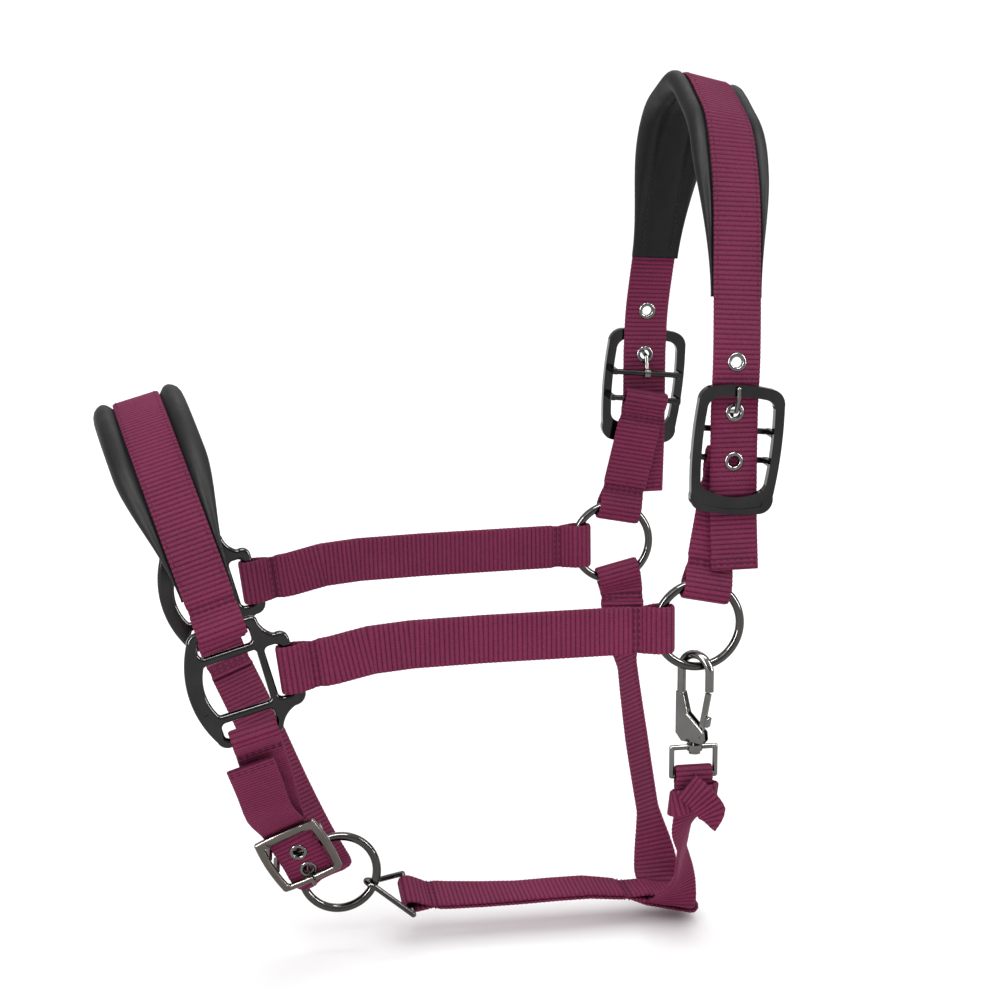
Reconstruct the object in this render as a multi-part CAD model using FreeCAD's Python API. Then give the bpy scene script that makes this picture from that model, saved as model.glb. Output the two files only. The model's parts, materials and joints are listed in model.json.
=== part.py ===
import FreeCAD, Part
import os
from math import atan2, cos, degrees, pi, radians, sin, sqrt

# Padded webbing headcollar, in millimetres.
# Origin: the poll seat, on the inner face of the crown pad at its crest.
# +X is the horse's left (near) side, +Y the back of the head, +Z up.

V = FreeCAD.Vector
os.makedirs("parts", exist_ok=True)

# ---- driving dimensions ----
WEB_WIDTH = 25.0
WEB_THICK = 2.0
PLY_GAP = 0.1            # between two plies of a doubled strap
BAR_GAP = 0.4            # webbing to the bar or wire it is folded round
FOLD_STEPS = 8           # flats round a half-turn fold

RING_RADIUS = 22.1       # cheek ring, to the middle of the wire
RING_WIRE = 2.25         # wire radius
RING_FOLD = 2.9          # radius that the webbing is folded round on a ring
RING_X = 95.5
RING_Y = -25.8
RING_Z = -262.3

CHIN_RING_RADIUS = 20.6
CHIN_RING_WIRE = 2.35
CHIN_RING_AT = V(4.0, -200.9, -416.8)

SQUARE_AT = V(92.0, -262.8, -281.1)
SQUARE_TILT = 16.0       # degrees, the back of the square lifted
SQUARE_THICK = 4.6
SQUARE_BAR = 1.9         # half the height of the three outer bars
SQUARE_FOLD = 2.6        # radius that the webbing is folded round on them
TOP_BAR = 28.4           # outer bars, from the middle of the square
REAR_BAR = 27.6
BOTTOM_BAR = -28.2

BUCKLE_AT = V(97.4, -8.0, -170.9)
BUCKLE_LEAN = 5.5        # degrees, top of the buckle to the back
BUCKLE_THICK = 4.4
CROSSBAR = 1.6           # radius
CROSSBAR_BACK = -10.0    # crossbars sit behind the middle of the frame
TONGUE_BAR_UP = 8.5      # crossbars, above the middle of the frame
BILLET_BAR_UP = -6.5

STRAP_X = 93.2           # middle of the crown strap at the buckle
EYELET_OUTER = 4.5
EYELET_HOLE = 2.6
EYELET_PITCH = 25.5

CHIN_BUCKLE_AT = V(25.4, -225.6, -398.1)

SNAP_TURN = 50.0         # degrees that the snap is turned from the ring's plane


# ---- small helpers ----
def save(shape, node):
    shape.exportStep("parts/" + node + ".step")
    print(node, "solids", len(shape.Solids), "volume", round(shape.Volume, 1), shape.isValid())


def unit(v):
    return V(v).multiply(1.0 / v.Length)


def mix(a, b, t):
    return a * (1.0 - t) + b * t


def ease(t):
    t = min(max(t, 0.0), 1.0)
    return t * t * (3.0 - 2.0 * t)


def mirrored(shape):
    return shape.mirror(V(0, 0, 0), V(1, 0, 0))


def rod(a, b, radius):
    return Part.makeCylinder(radius, (b - a).Length, a, b - a)


def joined(shapes):
    return shapes[0].fuse(shapes[1:]).removeSplitter()


def place(shape, origin, x_axis, y_axis):
    """Move a shape drawn on the XY plane so its X and Y lie along two unit vectors."""
    z_axis = x_axis.cross(y_axis)
    matrix = FreeCAD.Matrix(
        x_axis.x, y_axis.x, z_axis.x, origin.x,
        x_axis.y, y_axis.y, z_axis.y, origin.y,
        x_axis.z, y_axis.z, z_axis.z, origin.z,
        0, 0, 0, 1)
    moved = shape.copy()
    moved.Placement = FreeCAD.Placement(matrix).multiply(moved.Placement)
    return moved


def smooth(points, steps):
    """Points on a Catmull-Rom curve through the given points."""
    ends = [points[0] * 2 - points[1]] + points + [points[-1] * 2 - points[-2]]
    out = []
    for i in range(1, len(ends) - 2):
        p0, p1, p2, p3 = ends[i - 1:i + 3]
        for k in range(steps):
            t = k / steps
            out.append((p1 * 2 + (p2 - p0) * t + (p0 * 2 - p1 * 5 + p2 * 4 - p3) * t ** 2
                        + (p1 * 3 - p0 - p2 * 3 + p3) * t ** 3) * 0.5)
    out.append(points[-1])
    return out


# ---- webbing ----
# A station is (middle of the section, thickness direction, width direction).
def framed(points, widths):
    """Stations along a curve: the width direction is squared up to the run of the curve."""
    out = []
    last = len(points) - 1
    for i, p in enumerate(points):
        run = unit(points[min(i + 1, last)] - points[max(i - 1, 0)])
        wide = unit(widths[i] - run * widths[i].dot(run))
        out.append((p, wide.cross(run), wide))
    return out


def band(stations, width=None):
    """A strip of webbing through its stations; width may give the full width at a point."""
    sections = []
    for p, n, w in stations:
        a = w * ((width(p) if width else WEB_WIDTH) / 2)
        b = n * (WEB_THICK / 2)
        sections.append(Part.makePolygon([p + a + b, p - a + b, p - a - b, p + a - b, p + a + b]))
    lofts = [Part.makeLoft(sections, True, True), Part.makeLoft(sections[::-1], True, True)]
    return max(lofts, key=lambda loft: loft.Volume)


def straight(a, b, wide):
    """Two stations, the middle line of a strap that runs straight from a to b."""
    run = unit(b - a)
    wide = unit(wide - run * wide.dot(run))
    return [(a, wide.cross(run), wide), (b, wide.cross(run), wide)]


def along(line, s):
    """The station at a distance s along a middle line, carried on straight past its ends."""
    for i in range(len(line) - 1):
        a, b = line[i], line[i + 1]
        length = (b[0] - a[0]).Length
        if s <= length or i == len(line) - 2:
            t = s / length
            c = min(max(t, 0.0), 1.0)
            return (mix(a[0], b[0], t), unit(mix(a[1], b[1], c)), unit(mix(a[2], b[2], c)),
                    unit(b[0] - a[0]))
        s -= length


def spans(line):
    """Distance along a middle line of each of its stations."""
    out = [0.0]
    for i in range(1, len(line)):
        out.append(out[-1] + (line[i][0] - line[i - 1][0]).Length)
    return out


def half_turn(at, turn, side):
    """A fold: side is -1 at the start of a line and +1 at its end."""
    out = []
    for k in range(1, FOLD_STEPS):
        a = pi * k / FOLD_STEPS
        out.append((at + side * turn * sin(a), side * turn * cos(a)))
    return out


def fold_path(line, start, end=None, taper=6.0):
    """A strip as (distance along, distance outwards) from its middle line.

    start and end each give (bar radius, flat length over the bar, length of the turned-back ply).
    """
    total = spans(line)[-1]
    shut = (WEB_THICK + PLY_GAP) / 2
    bar, flat, tail = start
    turn = bar + BAR_GAP + WEB_THICK / 2
    inner = [s for s in spans(line) if s > flat + taper + 2]
    path = [(tail, -shut)]
    path += [(s, -shut) for s in reversed(inner) if s < tail - 2]
    path += [(flat + taper, -shut), (flat, -turn), (0.0, -turn)]
    path += half_turn(0.0, turn, -1)
    path += [(0.0, turn), (flat, turn), (flat + taper, shut)]
    if end is None:
        path += [(s, shut) for s in inner if s < total - 1]
        path.append((total, shut))
        return path
    bar, flat, tail = end
    turn = bar + BAR_GAP + WEB_THICK / 2
    path += [(s, shut) for s in inner if s < total - flat - taper - 2]
    path += [(total - flat - taper, shut), (total - flat, turn), (total, turn)]
    path += half_turn(total, turn, 1)
    path += [(total, -turn), (total - flat, -turn), (total - flat - taper, -shut)]
    path += [(s, -shut) for s in reversed(inner) if total - tail + 2 < s < total - flat - taper - 2]
    path.append((total - tail, -shut))
    return path


def folded(line, path):
    """Stations for a fold path laid along a middle line."""
    out = []
    last = len(path) - 1
    for i, (s, q) in enumerate(path):
        ahead = path[min(i + 1, last)]
        behind = path[max(i - 1, 0)]
        ds = ahead[0] - behind[0]
        dq = ahead[1] - behind[1]
        size = sqrt(ds * ds + dq * dq)
        p, n, w, run = along(line, s)
        out.append((p + n * q, n * (ds / size) - run * (dq / size), w))
    return out


def doubled(line, start, end, taper=6.0):
    """A strip folded round two bars, its ends meeting on the inner ply. start and end give
    (bar radius, flat length over the bar)."""
    total = spans(line)[-1]
    near = (start[0], start[1], 0.6 * total - 0.3)
    far = (end[0], end[1], 0.4 * total - 0.3)
    return band(folded(line, fold_path(line, near, far, taper)))


# ---- rings ----
ring = Part.makeTorus(RING_RADIUS, RING_WIRE, V(RING_X, RING_Y, RING_Z), V(1, 0, 0))
chin_ring = Part.makeTorus(CHIN_RING_RADIUS, CHIN_RING_WIRE, CHIN_RING_AT, V(1, 0, 0))
save(ring, "left_cheek_ring")
save(mirrored(ring), "right_cheek_ring")
save(chin_ring, "chin_ring")

# ---- nose squares: three strap bars round a D-shaped opening ----
SQ_BACK = V(0, cos(radians(SQUARE_TILT)), sin(radians(SQUARE_TILT)))
SQ_UP = V(0, -sin(radians(SQUARE_TILT)), cos(radians(SQUARE_TILT)))


def on_square(back, up, out=0.0):
    return SQUARE_AT + SQ_BACK * back + SQ_UP * up + V(out, 0, 0)


def arc(a, b, c):
    return Part.Arc(V(*a, 0), V(*b, 0), V(*c, 0)).toShape()


def line(a, b):
    return Part.LineSegment(V(*a, 0), V(*b, 0)).toShape()


def plate(edges, thick):
    face = Part.Face(Part.Wire(edges))
    return face.extrude(V(0, 0, thick)).translated(V(0, 0, -thick / 2))


def rounded_box(width, height, radius, thick):
    """A plate on the XY plane with round corners."""
    x = width / 2
    y = height / 2
    r = radius
    k = r * (1 - sqrt(0.5))
    edges = [line((-x + r, y), (x - r, y)), arc((x - r, y), (x - k, y - k), (x, y - r)),
             line((x, y - r), (x, -y + r)), arc((x, -y + r), (x - k, -y + k), (x - r, -y)),
             line((x - r, -y), (-x + r, -y)), arc((-x + r, -y), (-x + k, -y + k), (-x, -y + r)),
             line((-x, -y + r), (-x, y - r)), arc((-x, y - r), (-x + k, y - k), (-x + r, y))]
    return plate(edges, thick)


def softened(shape, radius):
    """Round every edge, or leave the shape sharp where the fillet can't be made."""
    try:
        soft = shape.makeFillet(radius, shape.Edges)
        if soft.isValid() and soft.Volume > 0.5 * shape.Volume:
            return soft
    except Exception:
        pass
    print("fillet left out")
    return shape


def nose_square():
    rail = 4.3
    outer = plate([
        arc((-18.5, 26.5), (-25.2, 0.0), (-18.5, -26.5)),
        arc((-18.5, -26.5), (-15.9, -30.1), (-10.5, -30.5)),
        line((-10.5, -30.5), (15.0, -30.5)),
        arc((15.0, -30.5), (18.4, -24.4), (24.5, -20.6)),
        arc((24.5, -20.6), (29.6, -18.8), (31.4, -14.5)),
        line((31.4, -14.5), (31.4, 14.0)),
        arc((31.4, 14.0), (29.6, 18.0), (25.0, 18.8)),
        arc((25.0, 18.8), (20.6, 23.2), (19.0, 28.6)),
        arc((19.0, 28.6), (17.6, 30.6), (15.0, 31.2)),
        line((15.0, 31.2), (-10.5, 31.2)),
        arc((-10.5, 31.2), (-15.9, 30.2), (-18.5, 26.5))], SQUARE_THICK)
    opening = plate([
        arc((-13.2, -13.4), (-16.6, 0.0), (-13.2, 13.4)),
        line((-13.2, 13.4), (14.0, 13.8)),
        line((14.0, 13.8), (13.6, -13.8)),
        line((13.6, -13.8), (-13.2, -13.4))], 3 * SQUARE_THICK)
    slot_y = (13.6 + rail + TOP_BAR - SQUARE_BAR) / 2
    slot_h = TOP_BAR - SQUARE_BAR - 13.6 - rail
    top_slot = rounded_box(27.4, slot_h, 2.5, 3 * SQUARE_THICK).translated(V(-0.2, slot_y, 0))
    low_slot = rounded_box(27.4, slot_h, 2.5, 3 * SQUARE_THICK).translated(V(-0.4, -slot_y, 0))
    rear_w = REAR_BAR - SQUARE_BAR - 13.6 - rail
    rear_x = (13.6 + rail + REAR_BAR - SQUARE_BAR) / 2
    rear_slot = rounded_box(rear_w, 27.4, 2.5, 3 * SQUARE_THICK).translated(V(rear_x, -0.4, 0))
    body = outer.cut(opening).cut(top_slot).cut(low_slot).cut(rear_slot)
    body = softened(body, 1.8)
    recess = plate([
        arc((-20.6, -11.0), (-22.6, 0.0), (-20.6, 11.0)),
        line((-20.6, 11.0), (-18.6, 10.6)),
        arc((-18.6, 10.6), (-20.3, 0.0), (-18.6, -10.6)),
        line((-18.6, -10.6), (-20.6, -11.0))], 1.0).translated(V(0, 0, SQUARE_THICK / 2))
    body = body.cut(recess)
    return place(body, SQUARE_AT, SQ_BACK, SQ_UP)


square = nose_square()
save(square, "left_nose_square")
save(mirrored(square), "right_nose_square")

# ---- cheek straps: doubled webbing from the ring to the square ----
RING_AT = V(RING_X, RING_Y, RING_Z)
RING_CHORD = sqrt(RING_RADIUS ** 2 - (WEB_WIDTH / 2) ** 2) - 0.4
square_end = on_square(REAR_BAR, -1.5)
cheek_run = unit(V(0, square_end.y - RING_AT.y, square_end.z - RING_AT.z))
CHEEK_END_FALL = radians(8.0)
cheek_end_run = V(0, -cos(CHEEK_END_FALL), -sin(CHEEK_END_FALL))
cheek_points = smooth([RING_AT + cheek_run * RING_CHORD, square_end - cheek_end_run * 62.0 + V(1.2, 0, 0.8),
                       square_end - cheek_end_run * 22.0, square_end + cheek_end_run * 1.4], 3)
cheek_line = framed(cheek_points, [V(0, 0, 1) for p in cheek_points])
cheek_strap = doubled(cheek_line, (RING_FOLD, 4.7), (SQUARE_FOLD, 4.6))
save(cheek_strap, "left_cheek_strap")
save(mirrored(cheek_strap), "right_cheek_strap")

# ---- crown strap: one strip over the poll, down through both buckles ----
CREST_FALL = 14.6        # degrees, the back edge lower at the crest
PAD_END = -98.0          # height of the crown pad's ends


def crown_wide(z):
    fall = radians(CREST_FALL * ease((z + 124.0) / 134.0))
    return V(0, cos(fall), -sin(fall))


half_crown = [V(0, 0, 9.4), V(31.2, -0.5, -0.8), V(48.2, -0.9, -9.8), V(60.1, -1.6, -23.8),
              V(72.7, -2.8, -47.6), V(83.1, -4.8, -86.8), V(92.2, -7.0, -124.0),
              V(93.2, -8.0, -150.0)]
crown_tail = [V(STRAP_X, -8.0, -180.0), V(94.1, -7.9, -204.6), V(97.7, -7.6, -233.5)]


def both_sides(half):
    """A curve from its crest to one end, made whole with its mirror image."""
    return [V(-p.x, p.y, p.z) for p in reversed(half[1:])] + half


crown_points = smooth(both_sides(half_crown), 5)
crown_points = [V(-p.x, p.y, p.z) for p in reversed(crown_tail)] + crown_points + crown_tail
crown_line = framed(crown_points, [crown_wide(p.z) for p in crown_points])
CROWN_OUT = 1.0 if crown_line[len(crown_line) // 2][1].z > 0 else -1.0
crown_line = [(p, n * CROWN_OUT, w) for p, n, w in crown_line]

# ---- crown buckles ----
BK_BACK = V(0, cos(radians(BUCKLE_LEAN)), -sin(radians(BUCKLE_LEAN)))
BK_UP = V(0, sin(radians(BUCKLE_LEAN)), cos(radians(BUCKLE_LEAN)))


def crossbar(lug_x, up, back, lug, thick):
    """A bar behind the frame on two lugs, drawn on the frame's own plane."""
    reach = -back + CROSSBAR
    parts = [rod(V(-lug_x, up, back), V(lug_x, up, back), CROSSBAR)]
    for x in (-lug_x, lug_x):
        block = Part.makeBox(lug, 2 * CROSSBAR, reach - thick / 2 + 0.8)
        parts.append(block.translated(V(x - lug / 2, up - CROSSBAR, -reach)))
    return parts


def both_halves(half):
    """The closed outline made by a run of right-hand arcs, top to bottom, and their mirror images."""
    other = [[(-x, y) for x, y in reversed(points)] for points in reversed(half[1:-1])]
    return [arc(*points) for points in half + other]


def buckle_frame(outer, window, thick, bars, lug_x, lug):
    """outer and window are arcs down the right-hand side; their first and last cross the middle."""
    hole = plate(both_halves(window), 3 * thick)
    parts = [softened(plate(both_halves(outer), thick).cut(hole), 1.5)]
    for up, back in bars:
        parts += crossbar(lug_x, up, back, lug, thick)
    return joined(parts)


def tongue(pivot_up, pivot_back, points, radius, lean=0.0):
    """A buckle tongue: an eye round its crossbar and a bent rod whose tip lies on the frame."""
    middle = V(-pivot_up * sin(lean), pivot_up, pivot_back)
    eye = Part.makeCylinder(3.0, 3.2, middle - V(1.6, 0, 0), V(1, 0, 0))
    parts = [eye]
    knots = [V(-y * sin(lean), y, z) for y, z in points]
    for i in range(len(knots) - 1):
        parts.append(rod(knots[i], knots[i + 1], radius))
        parts.append(Part.makeSphere(radius, knots[i + 1]))
    hole = Part.makeCylinder(CROSSBAR + 0.06, 6.0, middle - V(3.0, 0, 0), V(1, 0, 0))
    return joined(parts).cut(hole)


crown_bars = [(TONGUE_BAR_UP, CROSSBAR_BACK), (BILLET_BAR_UP, CROSSBAR_BACK)]
crown_outer = [[(-14.5, 32.2), (0, 33.4), (14.5, 32.2)], [(14.5, 32.2), (20.4, 29.6), (22.6, 23.5)],
               [(22.6, 23.5), (23.3, 4.0), (21.6, -23.0)], [(21.6, -23.0), (20.0, -29.8), (14.5, -32.4)],
               [(14.5, -32.4), (0, -33.2), (-14.5, -32.4)]]
crown_window = [[(-12.0, 26.6), (0, 27.4), (12.0, 26.6)], [(12.0, 26.6), (16.2, 24.6), (17.9, 20.0)],
                [(17.9, 20.0), (18.5, 3.0), (17.4, -16.6)], [(17.4, -16.6), (16.2, -19.6), (13.2, -21.4)],
                [(13.2, -21.4), (0, -24.4), (-13.2, -21.4)]]
crown_frame = buckle_frame(crown_outer, crown_window, BUCKLE_THICK, crown_bars, 19.4, 2.4)
recess_line = [[(-15.0, -25.2), (0, -27.0), (15.0, -25.2)], [(15.0, -25.2), (16.4, -26.6), (15.0, -28.6)],
               [(15.0, -28.6), (0, -30.4), (-15.0, -28.6)]]
plate_recess = plate(both_halves(recess_line), 1.0).translated(V(0, 0, BUCKLE_THICK / 2))
crown_frame = crown_frame.cut(plate_recess)
crown_frame = place(crown_frame, BUCKLE_AT, BK_BACK, BK_UP)
save(crown_frame, "left_crown_buckle_frame")
save(mirrored(crown_frame), "right_crown_buckle_frame")

TONGUE_RADIUS = 1.15
crown_tongue = tongue(TONGUE_BAR_UP, CROSSBAR_BACK,
                      [(TONGUE_BAR_UP + 2.0, CROSSBAR_BACK), (18.0, -8.8), (19.4, -0.6),
                       (27.0, 3.8), (31.6, 3.8)], TONGUE_RADIUS, radians(BUCKLE_LEAN))
crown_tongue = place(crown_tongue, BUCKLE_AT, BK_BACK, BK_UP)
save(crown_tongue, "left_crown_buckle_tongue")
save(mirrored(crown_tongue), "right_crown_buckle_tongue")

# ---- eyelets: turned rings through the webbing ----
EYELET_LIP = 0.4
EYELET_SEAT = WEB_THICK / 2 + 0.02


def eyelet(p, n):
    low = p - n * (EYELET_SEAT + EYELET_LIP)
    tall = 2 * (EYELET_SEAT + EYELET_LIP)
    barrel = Part.makeCylinder(EYELET_HOLE + 0.5, tall, low, n)
    top = Part.makeCylinder(EYELET_OUTER, EYELET_LIP, p + n * EYELET_SEAT, n)
    base = Part.makeCylinder(EYELET_OUTER, EYELET_LIP, low, n)
    return joined([barrel, top, base]).cut(Part.makeCylinder(EYELET_HOLE, tall, low, n))


def eyelet_hole(p, n):
    return Part.makeCylinder(EYELET_HOLE + 0.5, 3 * WEB_THICK, p - n * (1.5 * WEB_THICK), n)


def snapped(point, stations):
    """The nearest place on a run of stations, with the outward direction of that flat."""
    def foot(i):
        run = stations[i + 1][0] - stations[i][0]
        t = (point - stations[i][0]).dot(run) / run.dot(run)
        return min(max(t, 0.0), 1.0)

    def miss(i):
        return (mix(stations[i][0], stations[i + 1][0], foot(i)) - point).Length

    best = min(range(len(stations) - 1), key=miss)
    a, b = stations[best], stations[best + 1]
    run = b[0] - a[0]
    t = foot(best)
    across = unit((a[2] + b[2]).cross(run))
    side = 1.0 if across.dot(a[1]) > 0 else -1.0
    return mix(a[0], b[0], t), across * side


TONGUE_EYELET_Z = -152.2
eyelet_spots = [snapped(V(STRAP_X, -8.0, TONGUE_EYELET_Z + step * EYELET_PITCH), crown_line)
                for step in (1, 0, -1)]
left_eyelets = Part.makeCompound([eyelet(p, n) for p, n in eyelet_spots])
crown_strap = band(crown_line)
for p, n in eyelet_spots:
    crown_strap = crown_strap.cut(eyelet_hole(p, n))
    crown_strap = crown_strap.cut(mirrored(eyelet_hole(p, n)))
save(crown_strap, "crown_strap")
save(left_eyelets, "left_crown_eyelets")
save(mirrored(left_eyelets), "right_crown_eyelets")

# ---- buckle billets: doubled webbing from the cheek ring up to the buckle ----
billet_bar = BUCKLE_AT + BK_UP * BILLET_BAR_UP + V(CROSSBAR_BACK, 0, 0)
billet_rise = unit(V(0, billet_bar.y - RING_Y, billet_bar.z - RING_Z))
billet_foot = RING_AT + billet_rise * RING_CHORD
billet_run = unit(billet_bar - billet_foot)
billet_line = straight(billet_foot, billet_bar + billet_run * 1.4, V(0, 1, 0))
billet = doubled(billet_line, (RING_FOLD, 4.7), (CROSSBAR, 3.2))
save(billet, "left_buckle_billet")
save(mirrored(billet), "right_buckle_billet")


# ---- pads: a leather-look cover with two edge rolls, filled with foam ----
def pad_section(station, half_width, thick, bulge, skin):
    """The outline of a pad under the webbing: outwards is up, the webbing lies on the middle."""
    p, n, w = station
    edge = WEB_WIDTH / 2 + 0.3 - skin
    e = half_width - edge
    top = -WEB_THICK / 2 - 0.2
    half = [(edge, top), (edge + 0.3 * e, top + bulge), (edge + 0.75 * e, top + 0.7 * bulge),
            (half_width, top - 0.4 * thick), (edge + 0.75 * e, top - 0.85 * thick),
            (edge + 0.1 * e, top - thick), (0.5 * edge, top - 0.9 * thick)]
    outline = half + [(-x, y) for x, y in reversed(half)]
    points = [p + w * x + n * y for x, y in outline]
    return Part.makePolygon(points + [points[0]])


def pad(stations, ends, middle, skin):
    """Loft a pad; ends and middle give (half width, thickness, bulge)."""
    reach = spans(stations)
    total = reach[-1]
    sections = []
    for s, station in zip(reach, stations):
        t = ease(min(s, total - s) / (0.28 * total))
        half_width, thick, bulge = [a + (b - a) * t for a, b in zip(ends, middle)]
        p, n, w = station
        if skin:
            station = (p - n * skin, n, w)
            half_width -= skin
            thick -= 2 * skin
            bulge = max(bulge - 0.2, 0.0)
        sections.append(pad_section(station, half_width, thick, bulge, skin))
    return Part.makeLoft(sections, True, True)


PAD_SKIN = 1.0
crown_pad_line = [st for st in crown_line if st[0].z > PAD_END]
crown_pad = pad(crown_pad_line, (13.2, 2.6, 0.0), (20.2, 9.2, 1.6), 0.0)
crown_foam = pad(crown_pad_line[2:-2], (13.2, 3.4, 0.0), (20.2, 9.2, 1.6), PAD_SKIN)
save(crown_pad.cut(crown_foam), "crown_pad_cover")
save(crown_foam, "crown_pad_foam")

# ---- noseband ----
NOSE_BAR = on_square(0.3, TOP_BAR)
NOSE_CREST = V(0, -303.0, -154.3)
nose_rise = V(0, NOSE_CREST.y - NOSE_BAR.y, NOSE_CREST.z - NOSE_BAR.z)
NOSE_WIDE = V(0, cos(radians(SQUARE_TILT)), sin(radians(SQUARE_TILT)))


def on_nose(x, height):
    """A point of the noseband's arch: height is 0 at the square's bar and 1 at the crest."""
    return V(x, NOSE_BAR.y, NOSE_BAR.z) + nose_rise * height


half_nose = [on_nose(0, 1.0), on_nose(34, 0.94), on_nose(61, 0.765), on_nose(78.5, 0.52),
             on_nose(88, 0.24), on_nose(92, -0.008)]
nose_points = smooth(both_sides(half_nose), 5)
nose_line = framed(nose_points, [NOSE_WIDE for p in nose_points])
NOSE_OUT = 1.0 if nose_line[len(nose_line) // 2][1].z > 0 else -1.0
nose_line = [(p, n * NOSE_OUT, w) for p, n, w in nose_line]
NOSE_TAIL = 17.0
nose_fold = (SQUARE_FOLD, 3.4, NOSE_TAIL)
noseband = band(folded(nose_line, fold_path(nose_line, nose_fold, nose_fold)))
save(noseband, "noseband_strap")

nose_reach = spans(nose_line)
nose_pad_line = [(p + n * 1.05, n, w) for s, (p, n, w) in zip(nose_reach, nose_line)
                 if NOSE_TAIL + 2 < s < nose_reach[-1] - NOSE_TAIL - 2]
nose_pad = pad(nose_pad_line, (13.4, 3.0, 0.0), (24.5, 11.5, 3.2), 0.0)
nose_foam = pad(nose_pad_line[2:-2], (13.4, 3.6, 0.0), (24.5, 11.5, 3.2), PAD_SKIN)
save(nose_pad.cut(nose_foam), "noseband_pad_cover")
save(nose_foam, "noseband_pad_foam")

# ---- chin: buckle on a short billet, and a strap through the ring and the buckle ----
CB_WIDE = unit(V(0.235, 0.868, 0.438))
CB_UP = unit(V(0.177, -0.482, 0.858))
CB_OUT = CB_WIDE.cross(CB_UP)
CB_THICK = 3.4
CB_TONGUE_UP = -3.4
CB_BILLET_UP = 5.2
CB_BACK = -9.4


def on_chin_buckle(up, out, wide=0.0):
    return CHIN_BUCKLE_AT + CB_UP * up + CB_OUT * out + CB_WIDE * wide


chin_outer = [[(-16.4, 17.5), (0, 18.2), (16.4, 17.5)], [(16.4, 17.5), (17.8, 16.9), (18.2, 15.4)],
              [(18.2, 15.4), (19.2, 0), (17.9, -15.2)], [(17.9, -15.2), (17.4, -16.8), (15.6, -17.6)],
              [(15.6, -17.6), (0, -18.2), (-15.6, -17.6)]]
chin_window = [[(-12.8, 12.4), (0, 12.9), (12.8, 12.4)], [(12.8, 12.4), (13.8, 11.9), (14.0, 10.8)],
               [(14.0, 10.8), (14.7, 0), (13.8, -12.6)], [(13.8, -12.6), (13.3, -13.9), (11.8, -14.3)],
               [(11.8, -14.3), (0, -14.7), (-11.8, -14.3)]]
chin_frame = buckle_frame(chin_outer, chin_window, CB_THICK,
                          [(CB_TONGUE_UP, CB_BACK), (CB_BILLET_UP, CB_BACK)], 15.2, 2.2)
chin_recess = rounded_box(23.0, 3.0, 1.4, 1.0).translated(V(0, 15.2, CB_THICK / 2))
chin_frame = chin_frame.cut(chin_recess)
chin_frame = place(chin_frame, CHIN_BUCKLE_AT, CB_WIDE, CB_UP)
save(chin_frame, "chin_buckle_frame")
chin_tongue = tongue(CB_TONGUE_UP, CB_BACK,
                     [(CB_TONGUE_UP - 2.0, CB_BACK), (-10.8, -9.0), (-13.1, -1.0),
                      (-14.4, 3.0), (-18.6, 3.0)], 1.0)
chin_tongue = place(chin_tongue, CHIN_BUCKLE_AT, CB_WIDE, CB_UP)
save(chin_tongue, "chin_buckle_tongue")

near_bottom_bar = on_square(0.3, BOTTOM_BAR)
far_bottom_bar = on_square(-0.4, BOTTOM_BAR) - V(2 * SQUARE_AT.x, 0, 0)
SQUARE_WIDE = V(0, cos(radians(SQUARE_TILT)), sin(radians(SQUARE_TILT)))


def facing_out(stations, outward):
    """Turn every thickness direction to the outer side, judged at the first station."""
    side = 1.0 if stations[0][1].dot(outward) > 0 else -1.0
    return [(p, n * side, w) for p, n, w in stations]


chin_billet_points = smooth([near_bottom_bar + V(0, -0.1, 0.5), V(85.6, -252.0, -317.2),
                             V(51.8, -242.4, -348.6), on_chin_buckle(20.0, -9.2),
                             on_chin_buckle(CB_BILLET_UP - 1.2, CB_BACK)], 3)
chin_billet_wide = [mix(SQUARE_WIDE, CB_WIDE, ease(i / (len(chin_billet_points) - 1.0)))
                    for i in range(len(chin_billet_points))]
chin_billet_line = facing_out(framed(chin_billet_points, chin_billet_wide), V(1, 0, 0))
save(doubled(chin_billet_line, (SQUARE_FOLD, 2.6), (CROSSBAR, 3.4)), "chin_billet")

STRAP_BACK = -(CB_THICK / 2 + 0.8 + WEB_THICK / 2) - (WEB_THICK + PLY_GAP) / 2
CHIN_WIDE = V(0, 0.925, 0.38)
chin_knots = [
    (far_bottom_bar + V(0, -0.1, 0.5), SQUARE_WIDE),
    (V(-88.5, -252.5, -316.5), SQUARE_WIDE),
    (V(-64.0, -239.5, -344.0), SQUARE_WIDE),
    (V(-36.0, -224.5, -379.0), CHIN_WIDE),
    (V(-17.0, -213.5, -402.0), CHIN_WIDE),
    (V(-7.0, -208.3, -410.6), CHIN_WIDE),
    (V(4.0, -206.4, -413.0), CHIN_WIDE),
    (V(14.0, -208.6, -412.6), mix(CHIN_WIDE, CB_WIDE, 0.35)),
    (on_chin_buckle(-18.5, STRAP_BACK), mix(CHIN_WIDE, CB_WIDE, 0.85)),
    (on_chin_buckle(-7.0, STRAP_BACK), CB_WIDE),
    (on_chin_buckle(7.0, STRAP_BACK), CB_WIDE),
    (on_chin_buckle(18.0, STRAP_BACK), CB_WIDE),
    (V(49.0, -243.5, -364.5), mix(CB_WIDE, SQUARE_WIDE, 0.45)),
    (V(68.0, -250.0, -345.0), mix(CB_WIDE, SQUARE_WIDE, 0.8)),
    (V(86.5, -257.0, -325.0), SQUARE_WIDE)]
CHIN_STEPS = 3
chin_points = smooth([p for p, w in chin_knots], CHIN_STEPS)
chin_wide = []
for i in range(len(chin_knots) - 1):
    for k in range(CHIN_STEPS):
        chin_wide.append(mix(chin_knots[i][1], chin_knots[i + 1][1], k / CHIN_STEPS))
chin_wide.append(chin_knots[-1][1])
chin_line = facing_out(framed(chin_points, chin_wide), V(-1, 0, 0))
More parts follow.
